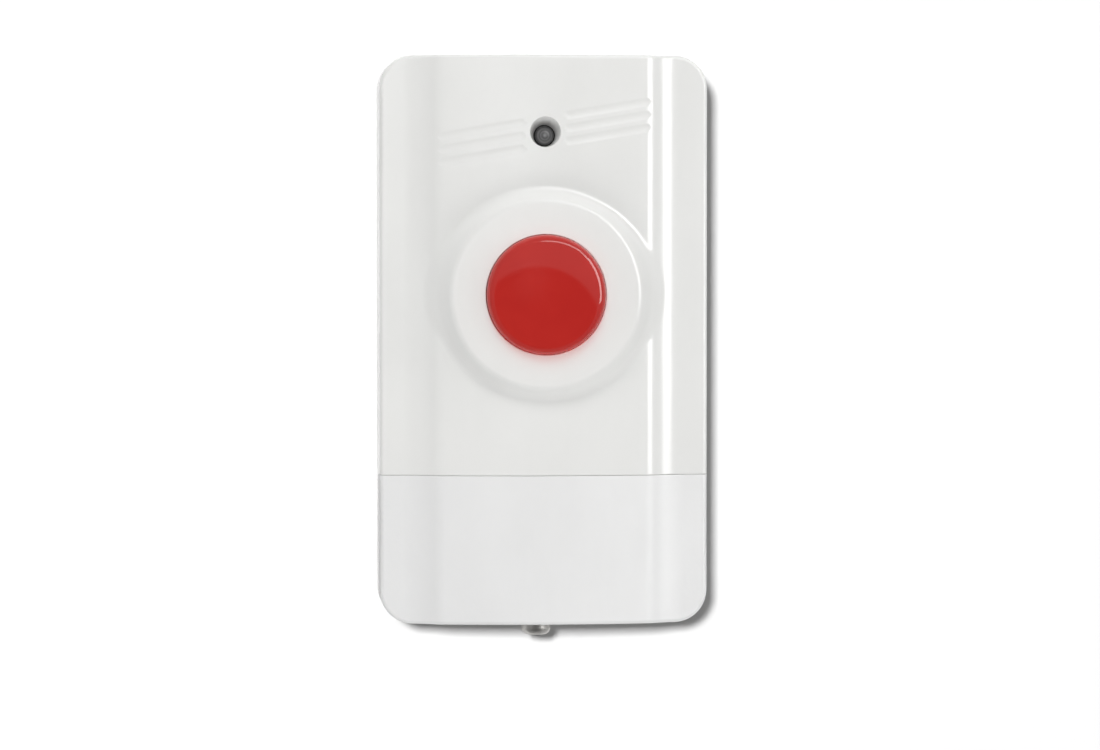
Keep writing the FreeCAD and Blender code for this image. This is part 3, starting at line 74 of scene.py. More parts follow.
# The collar round the button, and the two round holes
BUTTON_Z = 6.95
COLLAR_DEPTH = 19.0
COLLAR = 14.4
COLLAR_ANGLE = math.radians(55)
COLLAR_EDGE = 1.2
COLLAR_BLEND = 1.1
COLLAR_REACH = 19.3
BUTTON_HOLE = 9.15
LIGHT_Z = 31.55
LIGHT_HOLE = 2.3
HOLE_EDGE = 0.14
LAMP_Z = 31.05
COVER_SCREW_X = -0.9
COVER_SCREW_DEPTH = 8.6
COVER_SCREW_HOLE = 1.45

# The slanted grooves
GROOVE_PITCH = 1.96
GROOVE_SLOPE = math.radians(9.6)
GROOVE_HALF = 0.72
GROOVE_CUT = 0.15
GROOVE_START = 3.7
GROOVE_ZONE = (26.0, 37.0)

# How far inside the outer skin the mouldings take over the solids' own inside
MIDDLE = 0.9

# Where cutters end, past what they cut
IN_FRONT = 30.0
BELOW = -50.0
BUTTON_HOLE_BACK = 17.3
LIGHT_HOLE_BACK = 12.7
COVER_FOOT_INSIDE = -42.3
PAST_SEAM = 3.0
PAST_BACK = 1.0

# Distance between the points along the outline and up the face
SPACING = 1.2

# The middle of the object's face in metres, which the lights face
FACE_MIDDLE = Vector((0, -0.015, 0))


# The form of the mouldings' face


def front_contour(x, inset=0.0):
    """Depth of the face at x, before the collar, the grooves and the rims."""
    across = numpy.abs(x)
    crown = CROWN - inset
    edge = EDGE - inset
    foot = FOOT + inset
    lean = math.asin(PANEL_HALF / CROWN)
    crown_depth = PANEL_DEPTH - CROWN
    edge_x = (CROWN - EDGE) * math.sin(lean)
    edge_depth = crown_depth + (CROWN - EDGE) * math.cos(lean)
    foot_x = edge_x + (EDGE + FOOT) * math.sin(FLANK_ANGLE) + FLANK * math.cos(FLANK_ANGLE)
    foot_depth = edge_depth + (EDGE + FOOT) * math.cos(FLANK_ANGLE) - FLANK * math.sin(FLANK_ANGLE)

    crown_ends = crown * math.sin(lean)
    flank_starts = edge_x + edge * math.sin(FLANK_ANGLE)
    foot_starts = foot_x - foot * math.sin(FLANK_ANGLE)
    band_starts = foot_x - foot * math.sin(BAND_ANGLE)

    def root(value):
        return numpy.sqrt(numpy.maximum(value, 0.0))

    return numpy.select(
        [across <= crown_ends, across <= flank_starts, across <= foot_starts, across <= band_starts],
        [
            crown_depth + root(crown**2 - across**2),
            edge_depth + root(edge**2 - (across - edge_x) ** 2),
            edge_depth + edge * math.cos(FLANK_ANGLE) - (across - flank_starts) * math.tan(FLANK_ANGLE),
            foot_depth - root(foot**2 - (across - foot_x) ** 2),
        ],
        foot_depth - foot * math.cos(BAND_ANGLE) - (across - band_starts) * math.tan(BAND_ANGLE),
    )


def collar_form(x, z, inset=0.0):
    """Depth of the raised collar's top, rounded edge and flank."""
    radius = numpy.hypot(x, z - BUTTON_Z)
    top = COLLAR_DEPTH - inset
    edge = COLLAR_EDGE - inset
    half = COLLAR_EDGE * math.tan(COLLAR_ANGLE / 2)
    edge_centre = COLLAR - half
    edge_ends = edge_centre + edge * math.sin(COLLAR_ANGLE)
    centre_depth = COLLAR_DEPTH - COLLAR_EDGE
    arc = centre_depth + numpy.sqrt(numpy.maximum(edge**2 - (radius - edge_centre) ** 2, 0.0))
    flank = centre_depth + edge * math.cos(COLLAR_ANGLE) - (radius - edge_ends) * math.tan(COLLAR_ANGLE)
    return numpy.select([radius <= edge_centre, radius <= edge_ends], [top, arc], flank)


def blended(first, second, reach):
    """The larger of two depths, with a rounded inner corner where they meet."""
    overlap = numpy.maximum(reach - numpy.abs(first - second), 0.0) / reach
    return numpy.maximum(first, second) + overlap**2 * reach / 4


def groove_cut(x, z):
    """How deep the slanted grooves cut into the crown at x, z."""
    cut = numpy.zeros_like(x)
    along_way = (math.cos(GROOVE_SLOPE), math.sin(GROOVE_SLOPE))
    for step in (-1, 0, 1):
        rise = z - LIGHT_Z - step * GROOVE_PITCH
        along = numpy.abs(x * along_way[0] + rise * along_way[1])
        across = rise * along_way[0] - x * along_way[1]
        past = numpy.maximum(GROOVE_START - along, 0.0)
        distance = numpy.hypot(across, past)
        share = numpy.clip(1.0 - (distance / GROOVE_HALF) ** 2, 0.0, 1.0)
        cut = numpy.maximum(cut, GROOVE_CUT * share**1.5)
    return cut


def crown_extended(x):
    """Depth of the crown carried on past its edges, which the grooves follow."""
    return PANEL_DEPTH - CROWN + numpy.sqrt(CROWN**2 - x**2)


def face_depth(x, z, inset=0.0):
    """Depth of the whole face before its outer rims."""
    depth = front_contour(x, inset)
    if not inset:
        cut = groove_cut(x, z)
        grooved = numpy.minimum(depth, crown_extended(x) - cut)
        depth = numpy.where(cut > 0, grooved, depth)
    depth = blended(depth, collar_form(x, z, inset), COLLAR_BLEND)
    if inset:
        return depth
    for centre_z, hole in ((BUTTON_Z, BUTTON_HOLE), (LIGHT_Z, LIGHT_HOLE)):
        inside = numpy.clip(hole + HOLE_EDGE - numpy.hypot(x, z - centre_z), 0.0, HOLE_EDGE)
        depth = depth - (HOLE_EDGE - numpy.sqrt(HOLE_EDGE**2 - inside**2))
    return depth


def outline_distance(x, z, far, corner=CORNER, half=HALF_WIDTH):
    """Distance inside the outline, and the outward way. The side away from far is open."""
    up = math.copysign(1.0, far)
    over_x = numpy.abs(x) - (half - corner)
    over_z = z * up - (abs(far) - corner)
    at_corner = (over_x > 0) & (over_z > 0)
    round_corner = numpy.hypot(numpy.maximum(over_x, 0.0), numpy.maximum(over_z, 0.0))
    outside = numpy.where(at_corner, round_corner, numpy.maximum(over_x, over_z)) - corner
    length = numpy.maximum(round_corner, 1e-9)
    way_x = numpy.where(at_corner, over_x / length, numpy.where(over_x > over_z, 1.0, 0.0))
    way_z = numpy.where(at_corner, over_z / length, numpy.where(over_x > over_z, 0.0, 1.0))
    return -outside, way_x * numpy.sign(x), way_z * up


def rim_share(distance, radius):
    """Drop at a rounded edge, and how far its normal has turned outward, as sine and cosine."""
    inside = numpy.clip(distance, 0.0, radius)
    sine = (radius - inside) / radius
    cosine = numpy.sqrt(numpy.maximum(1.0 - sine**2, 0.0))
    return radius * (1.0 - cosine), sine, cosine


def seam_edge(far):
    """Radius of the edge at the seam: the case's above it, the cover's below."""
    return CASE_SEAM_EDGE if far > 0 else COVER_SEAM_EDGE


def skin_depth(x, z, far, seam):
    """Depth of the outer skin, with its rounded rims and seam."""
    distance, _, _ = outline_distance(x, z, far)
    drop, _, _ = rim_share(distance, RIM)
    seam_drop, _, _ = rim_share(numpy.abs(z - seam), seam_edge(far))
    return face_depth(x, z) - drop - seam_drop


def skin_normal(x, z, far, seam):
    """Outward normals of the outer skin as an array of x, y, z."""
    step = 0.01
    slope_x = (face_depth(x + step, z) - face_depth(x - step, z)) / (2 * step)
    slope_z = (face_depth(x, z + step) - face_depth(x, z - step)) / (2 * step)
    front = numpy.stack([-slope_x, -numpy.ones_like(x), -slope_z], axis=1)
    front /= numpy.linalg.norm(front, axis=1)[:, None]
    distance, way_x, way_z = outline_distance(x, z, far)
    _, sine, cosine = rim_share(distance, RIM)
    outward = numpy.stack([way_x, numpy.zeros_like(x), way_z], axis=1)
    normal = front * cosine[:, None] + outward * sine[:, None]
    _, sine, cosine = rim_share(numpy.abs(z - seam), seam_edge(far))
    seam_way = numpy.array([0.0, 0.0, -math.copysign(1.0, far)])
    normal = normal * cosine[:, None] + seam_way * sine[:, None]
    return normal / numpy.linalg.norm(normal, axis=1)[:, None]


# Meshes


def mesh_from(name, points, faces):
    """A mesh of points in millimetres, given as x, depth, z."""
    mesh = bpy.data.meshes.new(name)
    mesh.from_pydata([(x * MM, -depth * MM, z * MM) for x, depth, z in points], [], faces)
    mesh.update()
    return mesh


def seam_steps(far):
    """Places of the points across the seam's rounded edge."""
    return [seam_edge(far) * share for share in (0.15, 0.4, 0.7, 1.0)]


def x_lines(step):
    """Places of the points across the face: closer where its contour bends."""
    crown = numpy.arange(-15.0, 15.01, step)
    bend = numpy.arange(15.2, 21.61, 0.2)
    band = numpy.arange(21.9, 24.3, 0.6)
    return numpy.unique(numpy.round(numpy.concatenate([crown, bend, -bend, band, -band]), 3))


def outline_loop(inset, far, seam, corner=CORNER, half=HALF_WIDTH, spacing=SPACING):
    """Points along the outline, inset, from the seam's left end round the far side to its right end."""
    up = math.copysign(1.0, far)
    corner_steps = 20
    count = 1 + max(1, int((abs(far - seam) - corner) / spacing))
    side = numpy.linspace(seam * up, abs(far) - corner, count)
    points = [(-(half - inset), seam * up)]
    points += [(-(half - inset), seam * up + step) for step in seam_steps(far)]
    points += [(-(half - inset), z) for z in side[1:]]
    for step in range(1, corner_steps):
        angle = math.pi - math.pi / 2 * step / corner_steps
        reach = corner - inset
        x = corner - half + reach * math.cos(angle)
        z = abs(far) - corner + reach * math.sin(angle)
        points.append((x, z))
    lines = [x for x in x_lines(1.0) if 0 < x < half - corner - 0.05]
    points += [(x, abs(far) - inset) for x in [corner - half] + [-x for x in reversed(lines)]]
    mirrored = [(-x, z) for x, z in reversed(points)]
    return [(x, z * up) for x, z in points + [(0.0, abs(far) - inset)] + mirrored]


def seam_points(seam, insets):
    """Points along the seam from its right end to its left end, without the ends."""
    lines = x_lines(1.0)
    places = list(lines[numpy.abs(lines) < HALF_WIDTH - RIM - 0.05])
    places += [side * (HALF_WIDTH - inset) for inset in insets for side in (-1, 1)]
    return [(x, seam) for x in sorted(places, reverse=True)]


def ring_points(radii, centre, count):
    """Points on rings round a centre, ring after ring."""
    turns = numpy.arange(count) * 2 * math.pi / count
    return [
        (centre[0] + radius * math.cos(turn), centre[1] + radius * math.sin(turn))
        for radius in radii
        for turn in turns
    ]


def hole_edge_rings(hole):
    """Radii across a hole's rounded edge, with one well inside the hole."""
    return hole + HOLE_EDGE * numpy.array([-4.0, 0.0, 0.08, 0.25, 0.5, 0.75, 1.0])


def button_rings():
    """Radii from the button's hole over the collar's top and rounded edge to its foot."""
    top = numpy.arange(9.8, 13.5, 0.6)
    edge = numpy.linspace(13.6, 15.0, 12)
    flank = numpy.arange(15.2, COLLAR_REACH, 0.2)
    return numpy.concatenate([hole_edge_rings(BUTTON_HOLE), top, edge, flank])


def light_rings():
    """Radii across the edge of the light's hole and just outside it."""
    return numpy.concatenate([hole_edge_rings(LIGHT_HOLE), numpy.arange(2.6, 3.0, 0.15)])


def case_points(far, seam, fine):
    """Points of the face inside its rims. Fine ones have rings round the collar and the light."""
    up = math.copysign(1.0, far)
    heights = numpy.arange(seam * up + 1.0, abs(far) - RIM - 0.1, SPACING) * up
    heights = numpy.concatenate([heights, (seam * up + numpy.array([*seam_steps(far), 0.4])) * up])
    grids = [(x_lines(1.0), heights)]
    if fine:
        grids.append((x_lines(0.5), numpy.arange(*GROOVE_ZONE, 0.15)))
    points = []
    for across, along in grids:
        x, z = (part.ravel() for part in numpy.meshgrid(across, along))
        distance, _, _ = outline_distance(x, z, far)
        keep = distance > RIM + 0.08
        if fine:
            keep &= numpy.hypot(x, z - BUTTON_Z) > COLLAR_REACH
            keep &= numpy.hypot(x, z - LIGHT_Z) > LIGHT_HOLE + 0.75
            if along is heights:
                keep &= (z < GROOVE_ZONE[0] - 0.1) | (z > GROOVE_ZONE[1] + 0.05)
        points += list(zip(x[keep], z[keep]))
    if fine:
        points += ring_points(button_rings(), (0, BUTTON_Z), 192)
        points += ring_points(light_rings(), (0, LIGHT_Z), 96)
    return points


def band_faces(ring, following):
    """Faces between two rings of points. Either ring may be a single point."""
    count = max(len(ring), len(following))
    faces = []
    for step in range(count):
        after = (step + 1) % count
        if len(ring) == 1:
            faces.append([ring[0], following[step], following[after]])
        elif len(following) == 1:
            faces.append([ring[step], ring[after], following[0]])
        else:
            faces.append([ring[step], ring[after], following[after], following[step]])
    return faces


def closed_form(name, loop, inner, depth_of, back):
    """A closed mesh: the face over the loop, its walls and a flat back."""
    flat = loop + inner
    count = len(loop)
    border = [(step, (step + 1) % count) for step in range(count)]
    corners, _, faces, *_ = delaunay_2d_cdt([Vector(point) for point in flat], border, [], 1, 1e-7)
    x = numpy.array([corner.x for corner in corners])
    z = numpy.array([corner.y for corner in corners])
    depth = depth_of(x, z)
    points = list(zip(x, depth, z))
    faces = [list(face) for face in faces]
    back_ring = range(len(points), len(points) + count)
    points += [(x[step], back, z[step]) for step in range(count)]
    faces += band_faces(range(count), back_ring)
    faces += band_faces(back_ring, [len(points)])
    points.append((0.0, back, float(numpy.mean(z[:count]))))
    return turned_out(mesh_from(name, points, faces))


def turned_out(mesh):
    """Turns the faces of a closed mesh outward."""
    work = bmesh.new()
    work.from_mesh(mesh)
    bmesh.ops.recalc_face_normals(work, faces=work.faces)
    work.to_mesh(mesh)
    work.free()
    return mesh


def outer_form(name, far, seam, back, fine):
    """The closed form under the outer skin, with its rounded rims and seam."""
    insets = RIM * numpy.array([0.0, 0.03, 0.1, 0.2, 0.33, 0.48, 0.64, 0.82, 1.0])
    loops = [outline_loop(inset, far, seam) for inset in insets]
    inner = [point for loop in loops[1:] for point in loop[1:-1]]
    inner += case_points(far, seam, fine)
    edge = loops[0] + seam_points(seam, insets[1:])
    return closed_form(name, edge, inner, lambda x, z: skin_depth(x, z, far, seam), back)


def middle_form(name, far, seam, back, fine, corner=CORNER - MIDDLE):
    """The face's form well inside the wall, up to its own far side and seam."""
    half = HALF_WIDTH - MIDDLE
    spacing, collar_reach = 4.0, 18.0
    loop = outline_loop(0.0, far, seam, corner, half, spacing)
    across = x_lines(2.5)
    low, high = sorted((far, seam))
    x, z = (part.ravel() for part in numpy.meshgrid(across, numpy.arange(low + 1, high - 0.9, spacing)))
    distance, _, _ = outline_distance(x, z, far, corner, half)
    keep = distance > 0.3
    if fine:
        keep &= numpy.hypot(x, z - BUTTON_Z) > collar_reach
    inner = list(zip(x[keep], z[keep]))
    if fine:
        inner += ring_points(numpy.arange(9.0, collar_reach, 0.4), (0, BUTTON_Z), 96)
    edge = loop + [(x, seam) for x in sorted(across[numpy.abs(across) < half - 0.3], reverse=True)]
    return closed_form(name, edge, inner, lambda x, z: face_depth(x, z, MIDDLE), back)


def solid_of(node):
    """The CAD node's mesh with its split points joined."""
    work = bmesh.new()
    work.from_mesh(nodes[node].data)
    bmesh.ops.remove_doubles(work, verts=work.verts, dist=1e-7)
    mesh = bpy.data.meshes.new(f"{node}_solid")
    work.to_mesh(mesh)
    work.free()
    return mesh


def combined(first, second, operation):
    """The two meshes' difference, union or common part."""
    made = []
    for mesh in (first, second):
        made.append(bpy.data.objects.new("work", mesh))
        bpy.context.scene.collection.objects.link(made[-1])
    change = made[0].modifiers.new("change", "BOOLEAN")
    change.object = made[1]
    change.operation = operation
    change.solver = "MANIFOLD"
    depsgraph = bpy.context.evaluated_depsgraph_get()
    result = bpy.data.meshes.new_from_object(made[0].evaluated_get(depsgraph))
    for work in made:
        bpy.data.objects.remove(work)
    return result


def cylinder_mesh(centre, radius, start, end, axis, count):
    """A closed cylinder in millimetres. Axis y runs in depth and z runs up."""
    points = []
    for along in (start, end):
        for first, second in ring_points([radius], centre, count):
            points.append((first, along, second) if axis == "y" else (first, second, along))
    ends = [list(range(count)), list(range(count, 2 * count))]
    return turned_out(mesh_from("cylinder", points, ends + band_faces(*ends)))


def lathe_mesh(name, profile, centre_z, count=160):
    """A mesh turned round the depth axis from (radius, depth) points, which start and end on it."""
    points = []
    rings = []
    for radius, depth in profile:
        on_axis = radius < 1e-9
        ring = [(0.0, centre_z)] if on_axis else ring_points([radius], (0, centre_z), count)
        rings.append(range(len(points), len(points) + len(ring)))
        points += [(x, depth, z) for x, z in ring]
    faces = []
    for ring, following in zip(rings, rings[1:]):
        faces += band_faces(ring, following)
    return turned_out(mesh_from(name, points, faces))


def funnel_mesh():
    """The ring inside the light's hole, whose wall narrows down towards the lamp."""
    outer, lip, throat = LIGHT_HOLE + 0.3, LIGHT_HOLE - 0.02, 1.62
    front, back, count = 16.3, 14.1, 96
    rings = [(outer, LIGHT_Z, front), (lip, LIGHT_Z, front), (throat, LAMP_Z, back), (outer, LIGHT_Z, back)]
    points = []
    for radius, centre_z, depth in rings:
        points += [(x, depth, z) for x, z in ring_points([radius], (0, centre_z), count)]
    faces = []
    for step in range(len(rings)):
        first, second = step * count, (step + 1) % len(rings) * count
        faces += band_faces(range(first, first + count), range(second, second + count))
    return turned_out(mesh_from("funnel", points, faces))


def box_points(low, high):
    """The eight corners of a box."""
    return [(x, y, z) for x in (low[0], high[0]) for y in (low[1], high[1]) for z in (low[2], high[2])]


def arc_points(centre, radius, start, end, count):
    """(radius, depth) points on an arc, angles in degrees from straight forward towards outward."""
    return [
        (centre[0] + radius * math.sin(turn), centre[1] + radius * math.cos(turn))
        for turn in (math.radians(start + (end - start) * step / count) for step in range(count + 1))
    ]


def smoothed(mesh, angle=30):
    """Smooth shading, except at edges that turn by more than an angle in degrees."""
    mesh.polygons.foreach_set("use_smooth", [True] * len(mesh.polygons))
    mesh.set_sharp_from_angle(angle=math.radians(angle))
    return mesh


def skin_shaded(mesh, far, seam):
    """Gives the outer skin the form's own normals, and the rest smooth shading by angle."""
    on_skin_within, least_facing, sharp_angle = 0.004, 0.55, 14
    smoothed(mesh, sharp_angle)
    count = len(mesh.vertices)
    places = numpy.empty(count * 3)
    mesh.vertices.foreach_get("co", places)
    places = places.reshape(-1, 3) / MM
    x, depth, z = places[:, 0], -places[:, 1], places[:, 2]
    on_skin = numpy.abs(skin_depth(x, z, far, seam) - depth) < on_skin_within
    normals = skin_normal(x, z, far, seam)
    loops = len(mesh.loops)
    corners = numpy.empty(loops, dtype=int)
    mesh.loops.foreach_get("vertex_index", corners)
    custom = numpy.zeros((loops, 3))
    for face in mesh.polygons:
        span = slice(face.loop_start, face.loop_start + face.loop_total)
        used = corners[span]
        facing = (normals[used] @ numpy.array(face.normal)).min()
        if on_skin[used].all() and facing > least_facing:
            custom[span] = normals[used]
    mesh.normals_split_custom_set([tuple(normal) for normal in custom])
    return mesh


BODY_OF_NODE = {
    "front_case": "housing",
    "battery_cover": "cover",
    "button_cap": "button",
    "status_light": "housing",
    "button_spring": "housing",
}


def shown(name, mesh, node, material):
    """Adds a piece in place of a CAD node."""
    piece = bpy.data.objects.new(name, mesh)
    bpy.context.scene.collection.objects.link(piece)
    coated(mesh, material)
    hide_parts(node)
    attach(piece, BODY_OF_NODE[node])
    return piece


def coated(mesh, material):
    """Gives a mesh one material all over."""
    mesh.materials.clear()
    mesh.materials.append(material)
    for face in mesh.polygons:
        face.material_index = 0


def front_case(material):
    """The front moulding: its fine skin, the solid's own inside and the two round holes."""
    far = HALF_HEIGHT
    outer = outer_form("front_outer", far, SEAM, CASE_BACK, True)
    middle = middle_form("front_middle", far - MIDDLE, SEAM - PAST_SEAM, CASE_BACK - PAST_BACK, True)
    room = combined(middle, solid_of("front_case"), "DIFFERENCE")
    made = combined(outer, room, "DIFFERENCE")
    button_hole = cylinder_mesh((0, BUTTON_Z), BUTTON_HOLE, BUTTON_HOLE_BACK, IN_FRONT, "y", 192)
    made = combined(made, button_hole, "DIFFERENCE")
    light_hole = cylinder_mesh((0, LIGHT_Z), LIGHT_HOLE, LIGHT_HOLE_BACK, IN_FRONT, "y", 96)
    made = combined(made, light_hole, "DIFFERENCE")
    made = combined(made, funnel_mesh(), "UNION")
    mesh = skin_shaded(made, far, SEAM)
    return shown("front_moulding", mesh, "front_case", material)


def battery_cover(material):
    """The cover: its fine skin, the solid's own inside and tongue, and the screw's hole."""
    far = -HALF_HEIGHT
    outer = outer_form("cover_outer", far, COVER_TOP, COVER_BACK, False)
    solid = solid_of("battery_cover")
    past_seam, past_back = COVER_TOP + PAST_SEAM, COVER_BACK - PAST_BACK
    middle = middle_form("cover_middle", far + MIDDLE, past_seam, past_back, False)
    room = combined(middle, solid, "DIFFERENCE")
    made = combined(outer, room, "DIFFERENCE")
    screw_axis = (COVER_SCREW_X, COVER_SCREW_DEPTH)
    hole = cylinder_mesh(screw_axis, COVER_SCREW_HOLE, BELOW, COVER_FOOT_INSIDE, "z", 64)
    made = combined(made, hole, "DIFFERENCE")
    tongue_room = middle_form("tongue_room", TONGUE_ROOT, past_seam, past_back, False, 0.2)
    tongue = combined(solid, tongue_room, "INTERSECT")
    made = combined(made, tongue, "UNION")
    mesh = skin_shaded(made, far, COVER_TOP)
    return shown("cover_moulding", mesh, "battery_cover", material)


def button_cap(material):
    """The cap with its dome, shoulder, flange, stem and seat ring, as one turned form."""
    radius, crown, shoulder, wall = 9.05, 34.0, 1.5, 1.6
    top, flange, flange_front, flange_back = 21.7, 10.25, 17.15, 15.95
    centre = top - crown
    across = radius - shoulder
    shoulder_depth = centre + math.sqrt((crown - shoulder) ** 2 - across**2)
    lean = math.degrees(math.asin(across / (crown - shoulder)))
    profile = arc_points((0, centre), crown, 0, lean, 40)
    profile += arc_points((across, shoulder_depth), shoulder, lean, 90, 24)[1:]
    profile += [(radius, flange_front + 0.05), (radius + 0.1, flange_front), (flange - 0.15, flange_front)]
    profile += [(flange, flange_front - 0.15), (flange, flange_back)]
    inner = radius - wall
    inner_crown = crown - wall
    inner_lean = math.degrees(math.asin(inner / inner_crown))
    profile += [(inner, flange_back)]
    inside = list(reversed(arc_points((0, centre), inner_crown, 0, inner_lean, 24)))
    seat_out, seat_in, seat = 5.65, 4.55, 16.6
    stem, stem_end = 2.2, 13.25
    profile += [point for point in inside if point[0] > seat_out + 0.05]

    def roof(at):
        return centre + math.sqrt(inner_crown**2 - at**2)

    profile += [(seat_out, roof(seat_out)), (seat_out, seat), (seat_in, seat), (seat_in, roof(seat_in))]
    profile += [point for point in inside if stem + 0.05 < point[0] < seat_in - 0.05]
    profile += [(stem, roof(stem)), (stem, stem_end + 0.1), (stem - 0.1, stem_end), (0, stem_end)]
    mesh = smoothed(lathe_mesh("button_dome", profile, BUTTON_Z))
    return shown("button_dome", mesh, "button_cap", material)


def status_light(material):
    """The lamp: a flange, a clear body with a round head, and two square leads."""
    radius, flange, back, front = 1.5, 1.9, 10.3, 15.6
    lead_x, lead_half, lead_end = 1.27, 0.25, 6.0
    profile = [(0, back), (flange - 0.1, back), (flange, back + 0.1), (flange, back + 0.9)]
    profile += [(flange - 0.1, back + 1.0), (radius + 0.08, back + 1.0), (radius, back + 1.08)]
    profile += arc_points((0, front - radius), radius, 90, 0, 24)
    mesh = smoothed(lathe_mesh("status_lamp", profile, LAMP_Z, 96))
    work = bmesh.new()
    work.from_mesh(mesh)
    for side in (-1, 1):
        x = side * lead_x
        low = (x - lead_half, lead_end, LAMP_Z - lead_half)
        high = (x + lead_half, back + 0.5, LAMP_Z + lead_half)
        corners = box_points(low, high)
        lead = [work.verts.new((x * MM, -depth * MM, z * MM)) for x, depth, z in corners]
        for face in ((0, 1, 3, 2), (4, 6, 7, 5), (0, 4, 5, 1), (2, 3, 7, 6), (0, 2, 6, 4), (1, 5, 7, 3)):
            work.faces.new([lead[step] for step in face])
    bmesh.ops.recalc_face_normals(work, faces=work.faces)
    work.to_mesh(mesh)
    work.free()
    return shown("status_lamp", mesh, "status_light", material)


def return_spring(material):
    """The button's spring, smooth-shaded and with a mesh of its own. The real spring shortens as the button
    goes in.
    """
    mesh = smoothed(solid_of("button_spring"), 50)
    spring = shown("return_spring", mesh, "button_spring", material)
    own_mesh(spring)
    return spring


# Materials


def new_material(name):
    material = bpy.data.materials.new(name)
    material.use_nodes = True
    material.node_tree.nodes.clear()
    return material


class Graph:
    """Adds shader nodes to a material or to the world."""

    def __init__(self, owner):
        self.tree = owner.node_tree

    def add(self, kind, **settings):
        node = self.tree.nodes.new(kind)
        for name, value in settings.items():
            setattr(node, name, value)
        return node

    def join(self, output, socket):
        self.tree.links.new(output, socket)

    def place(self):
        return self.add("ShaderNodeTexCoord").outputs["Object"]

    def noise(self, scale, detail=2.0, roughness=0.5, stretch=None):
        """Noise in the piece's own coordinates. Scale is in features a metre."""
        node = self.add("ShaderNodeTexNoise")
        node.inputs["Scale"].default_value = scale
        node.inputs["Detail"].default_value = detail
        node.inputs["Roughness"].default_value = roughness
        source = self.place()
        if stretch:
            mapping = self.add("ShaderNodeMapping")
            mapping.inputs["Scale"].default_value = stretch
            self.join(source, mapping.inputs["Vector"])
            source = mapping.outputs["Vector"]
        self.join(source, node.inputs["Vector"])
        return node.outputs["Fac"]

    def ramp(self, source, low, high, to_low, to_high):
        """Carries a value's range from low to high over to another one."""
        node = self.add("ShaderNodeMapRange")
        limits = {"From Min": low, "From Max": high, "To Min": to_low, "To Max": to_high}
        for name, value in limits.items():
            node.inputs[name].default_value = value
        self.join(source, node.inputs["Value"])
        return node.outputs["Result"]

    def mix(self, share, first, second):
        node = self.add("ShaderNodeMix", data_type="RGBA")
        node.inputs[6].default_value = (*first, 1)
        node.inputs[7].default_value = (*second, 1)
        self.join(share, node.inputs[0])
        return node.outputs[2]

    def bump(self, height, distance):
        """Small relief in a surface. Distance is its depth in metres."""
        node = self.add("ShaderNodeBump")
        node.inputs["Strength"].default_value = 1.0
        node.inputs["Distance"].default_value = distance
        self.join(height, node.inputs["Height"])
        return node.outputs["Normal"]

    def surface(self, **values):
        """The shader and its output. Values are numbers, colours or outputs of other nodes."""
        shader = self.add("ShaderNodeBsdfPrincipled")
        for name, value in values.items():
            socket = shader.inputs[name.replace("_", " ")]
            if isinstance(value, bpy.types.NodeSocket):
                self.join(value, socket)
            elif isinstance(value, tuple):
                socket.default_value = (*value, 1)
            else:
                socket.default_value = value
        output = self.add("ShaderNodeOutputMaterial")
        self.join(shader.outputs["BSDF"], output.inputs["Surface"])
        return shader, output


def plastic(name, colour, shade, roughness, grain_scale, grain_depth):
    """Moulded plastic: faint flow marks in its colour, a fine grain and uneven gloss."""
    material = new_material(name)
    graph = Graph(material)
    flow = graph.noise(90.0, 4.0, 0.6, (1.0, 1.0, 0.5))
    base = graph.mix(graph.ramp(flow, 0.35, 0.65, 0.0, 1.0), colour, shade)
    gloss = graph.ramp(graph.noise(420.0, 3.0), 0.3, 0.7, roughness * 0.9, roughness * 1.15)
    grain = graph.bump(graph.noise(grain_scale, 2.0), grain_depth)
    graph.surface(Base_Color=base, Roughness=gloss, Normal=grain, IOR=1.5)
    return material


def red_plastic():
    """Clear-tinted red plastic that lets a red light through its shadow."""
    material = new_material("red_plastic")
    graph = Graph(material)
    flow = graph.noise(120.0, 3.0)
    bright, deep = (0.47, 0.022, 0.017), (0.44, 0.019, 0.015)
    base = graph.mix(graph.ramp(flow, 0.35, 0.65, 0.0, 1.0), bright, deep)
    gloss = graph.ramp(graph.noise(400.0, 2.0), 0.3, 0.7, 0.05, 0.07)
    grain = graph.bump(graph.noise(2500.0, 2.0), 0.000002)
    shader, output = graph.surface(Base_Color=base, Roughness=gloss, Normal=grain, IOR=1.5)
    clear = graph.add("ShaderNodeBsdfTransparent")
    clear.inputs["Color"].default_value = (0.96, 0.16, 0.13, 1)
    ray = graph.add("ShaderNodeLightPath")
    both = graph.add("ShaderNodeMixShader")
    graph.join(ray.outputs["Is Shadow Ray"], both.inputs["Fac"])
    graph.join(shader.outputs["BSDF"], both.inputs[1])
    graph.join(clear.outputs["BSDF"], both.inputs[2])
    graph.join(both.outputs["Shader"], output.inputs["Surface"])
    return material


def metal(name, colour, roughness):
    """Plated or drawn metal with fine marks and uneven gloss."""
    material = new_material(name)
    graph = Graph(material)
    marks = graph.noise(900.0, 3.0, 0.6)
    dull = tuple(part * 0.85 for part in colour)
    base = graph.mix(graph.ramp(marks, 0.3, 0.7, 0.0, 1.0), dull, colour)
    gloss = graph.ramp(marks, 0.3, 0.7, roughness * 1.3, roughness * 0.8)
    grain = graph.bump(marks, 0.000006)
    graph.surface(Base_Color=base, Metallic=1.0, Roughness=gloss, Normal=grain)
    return material


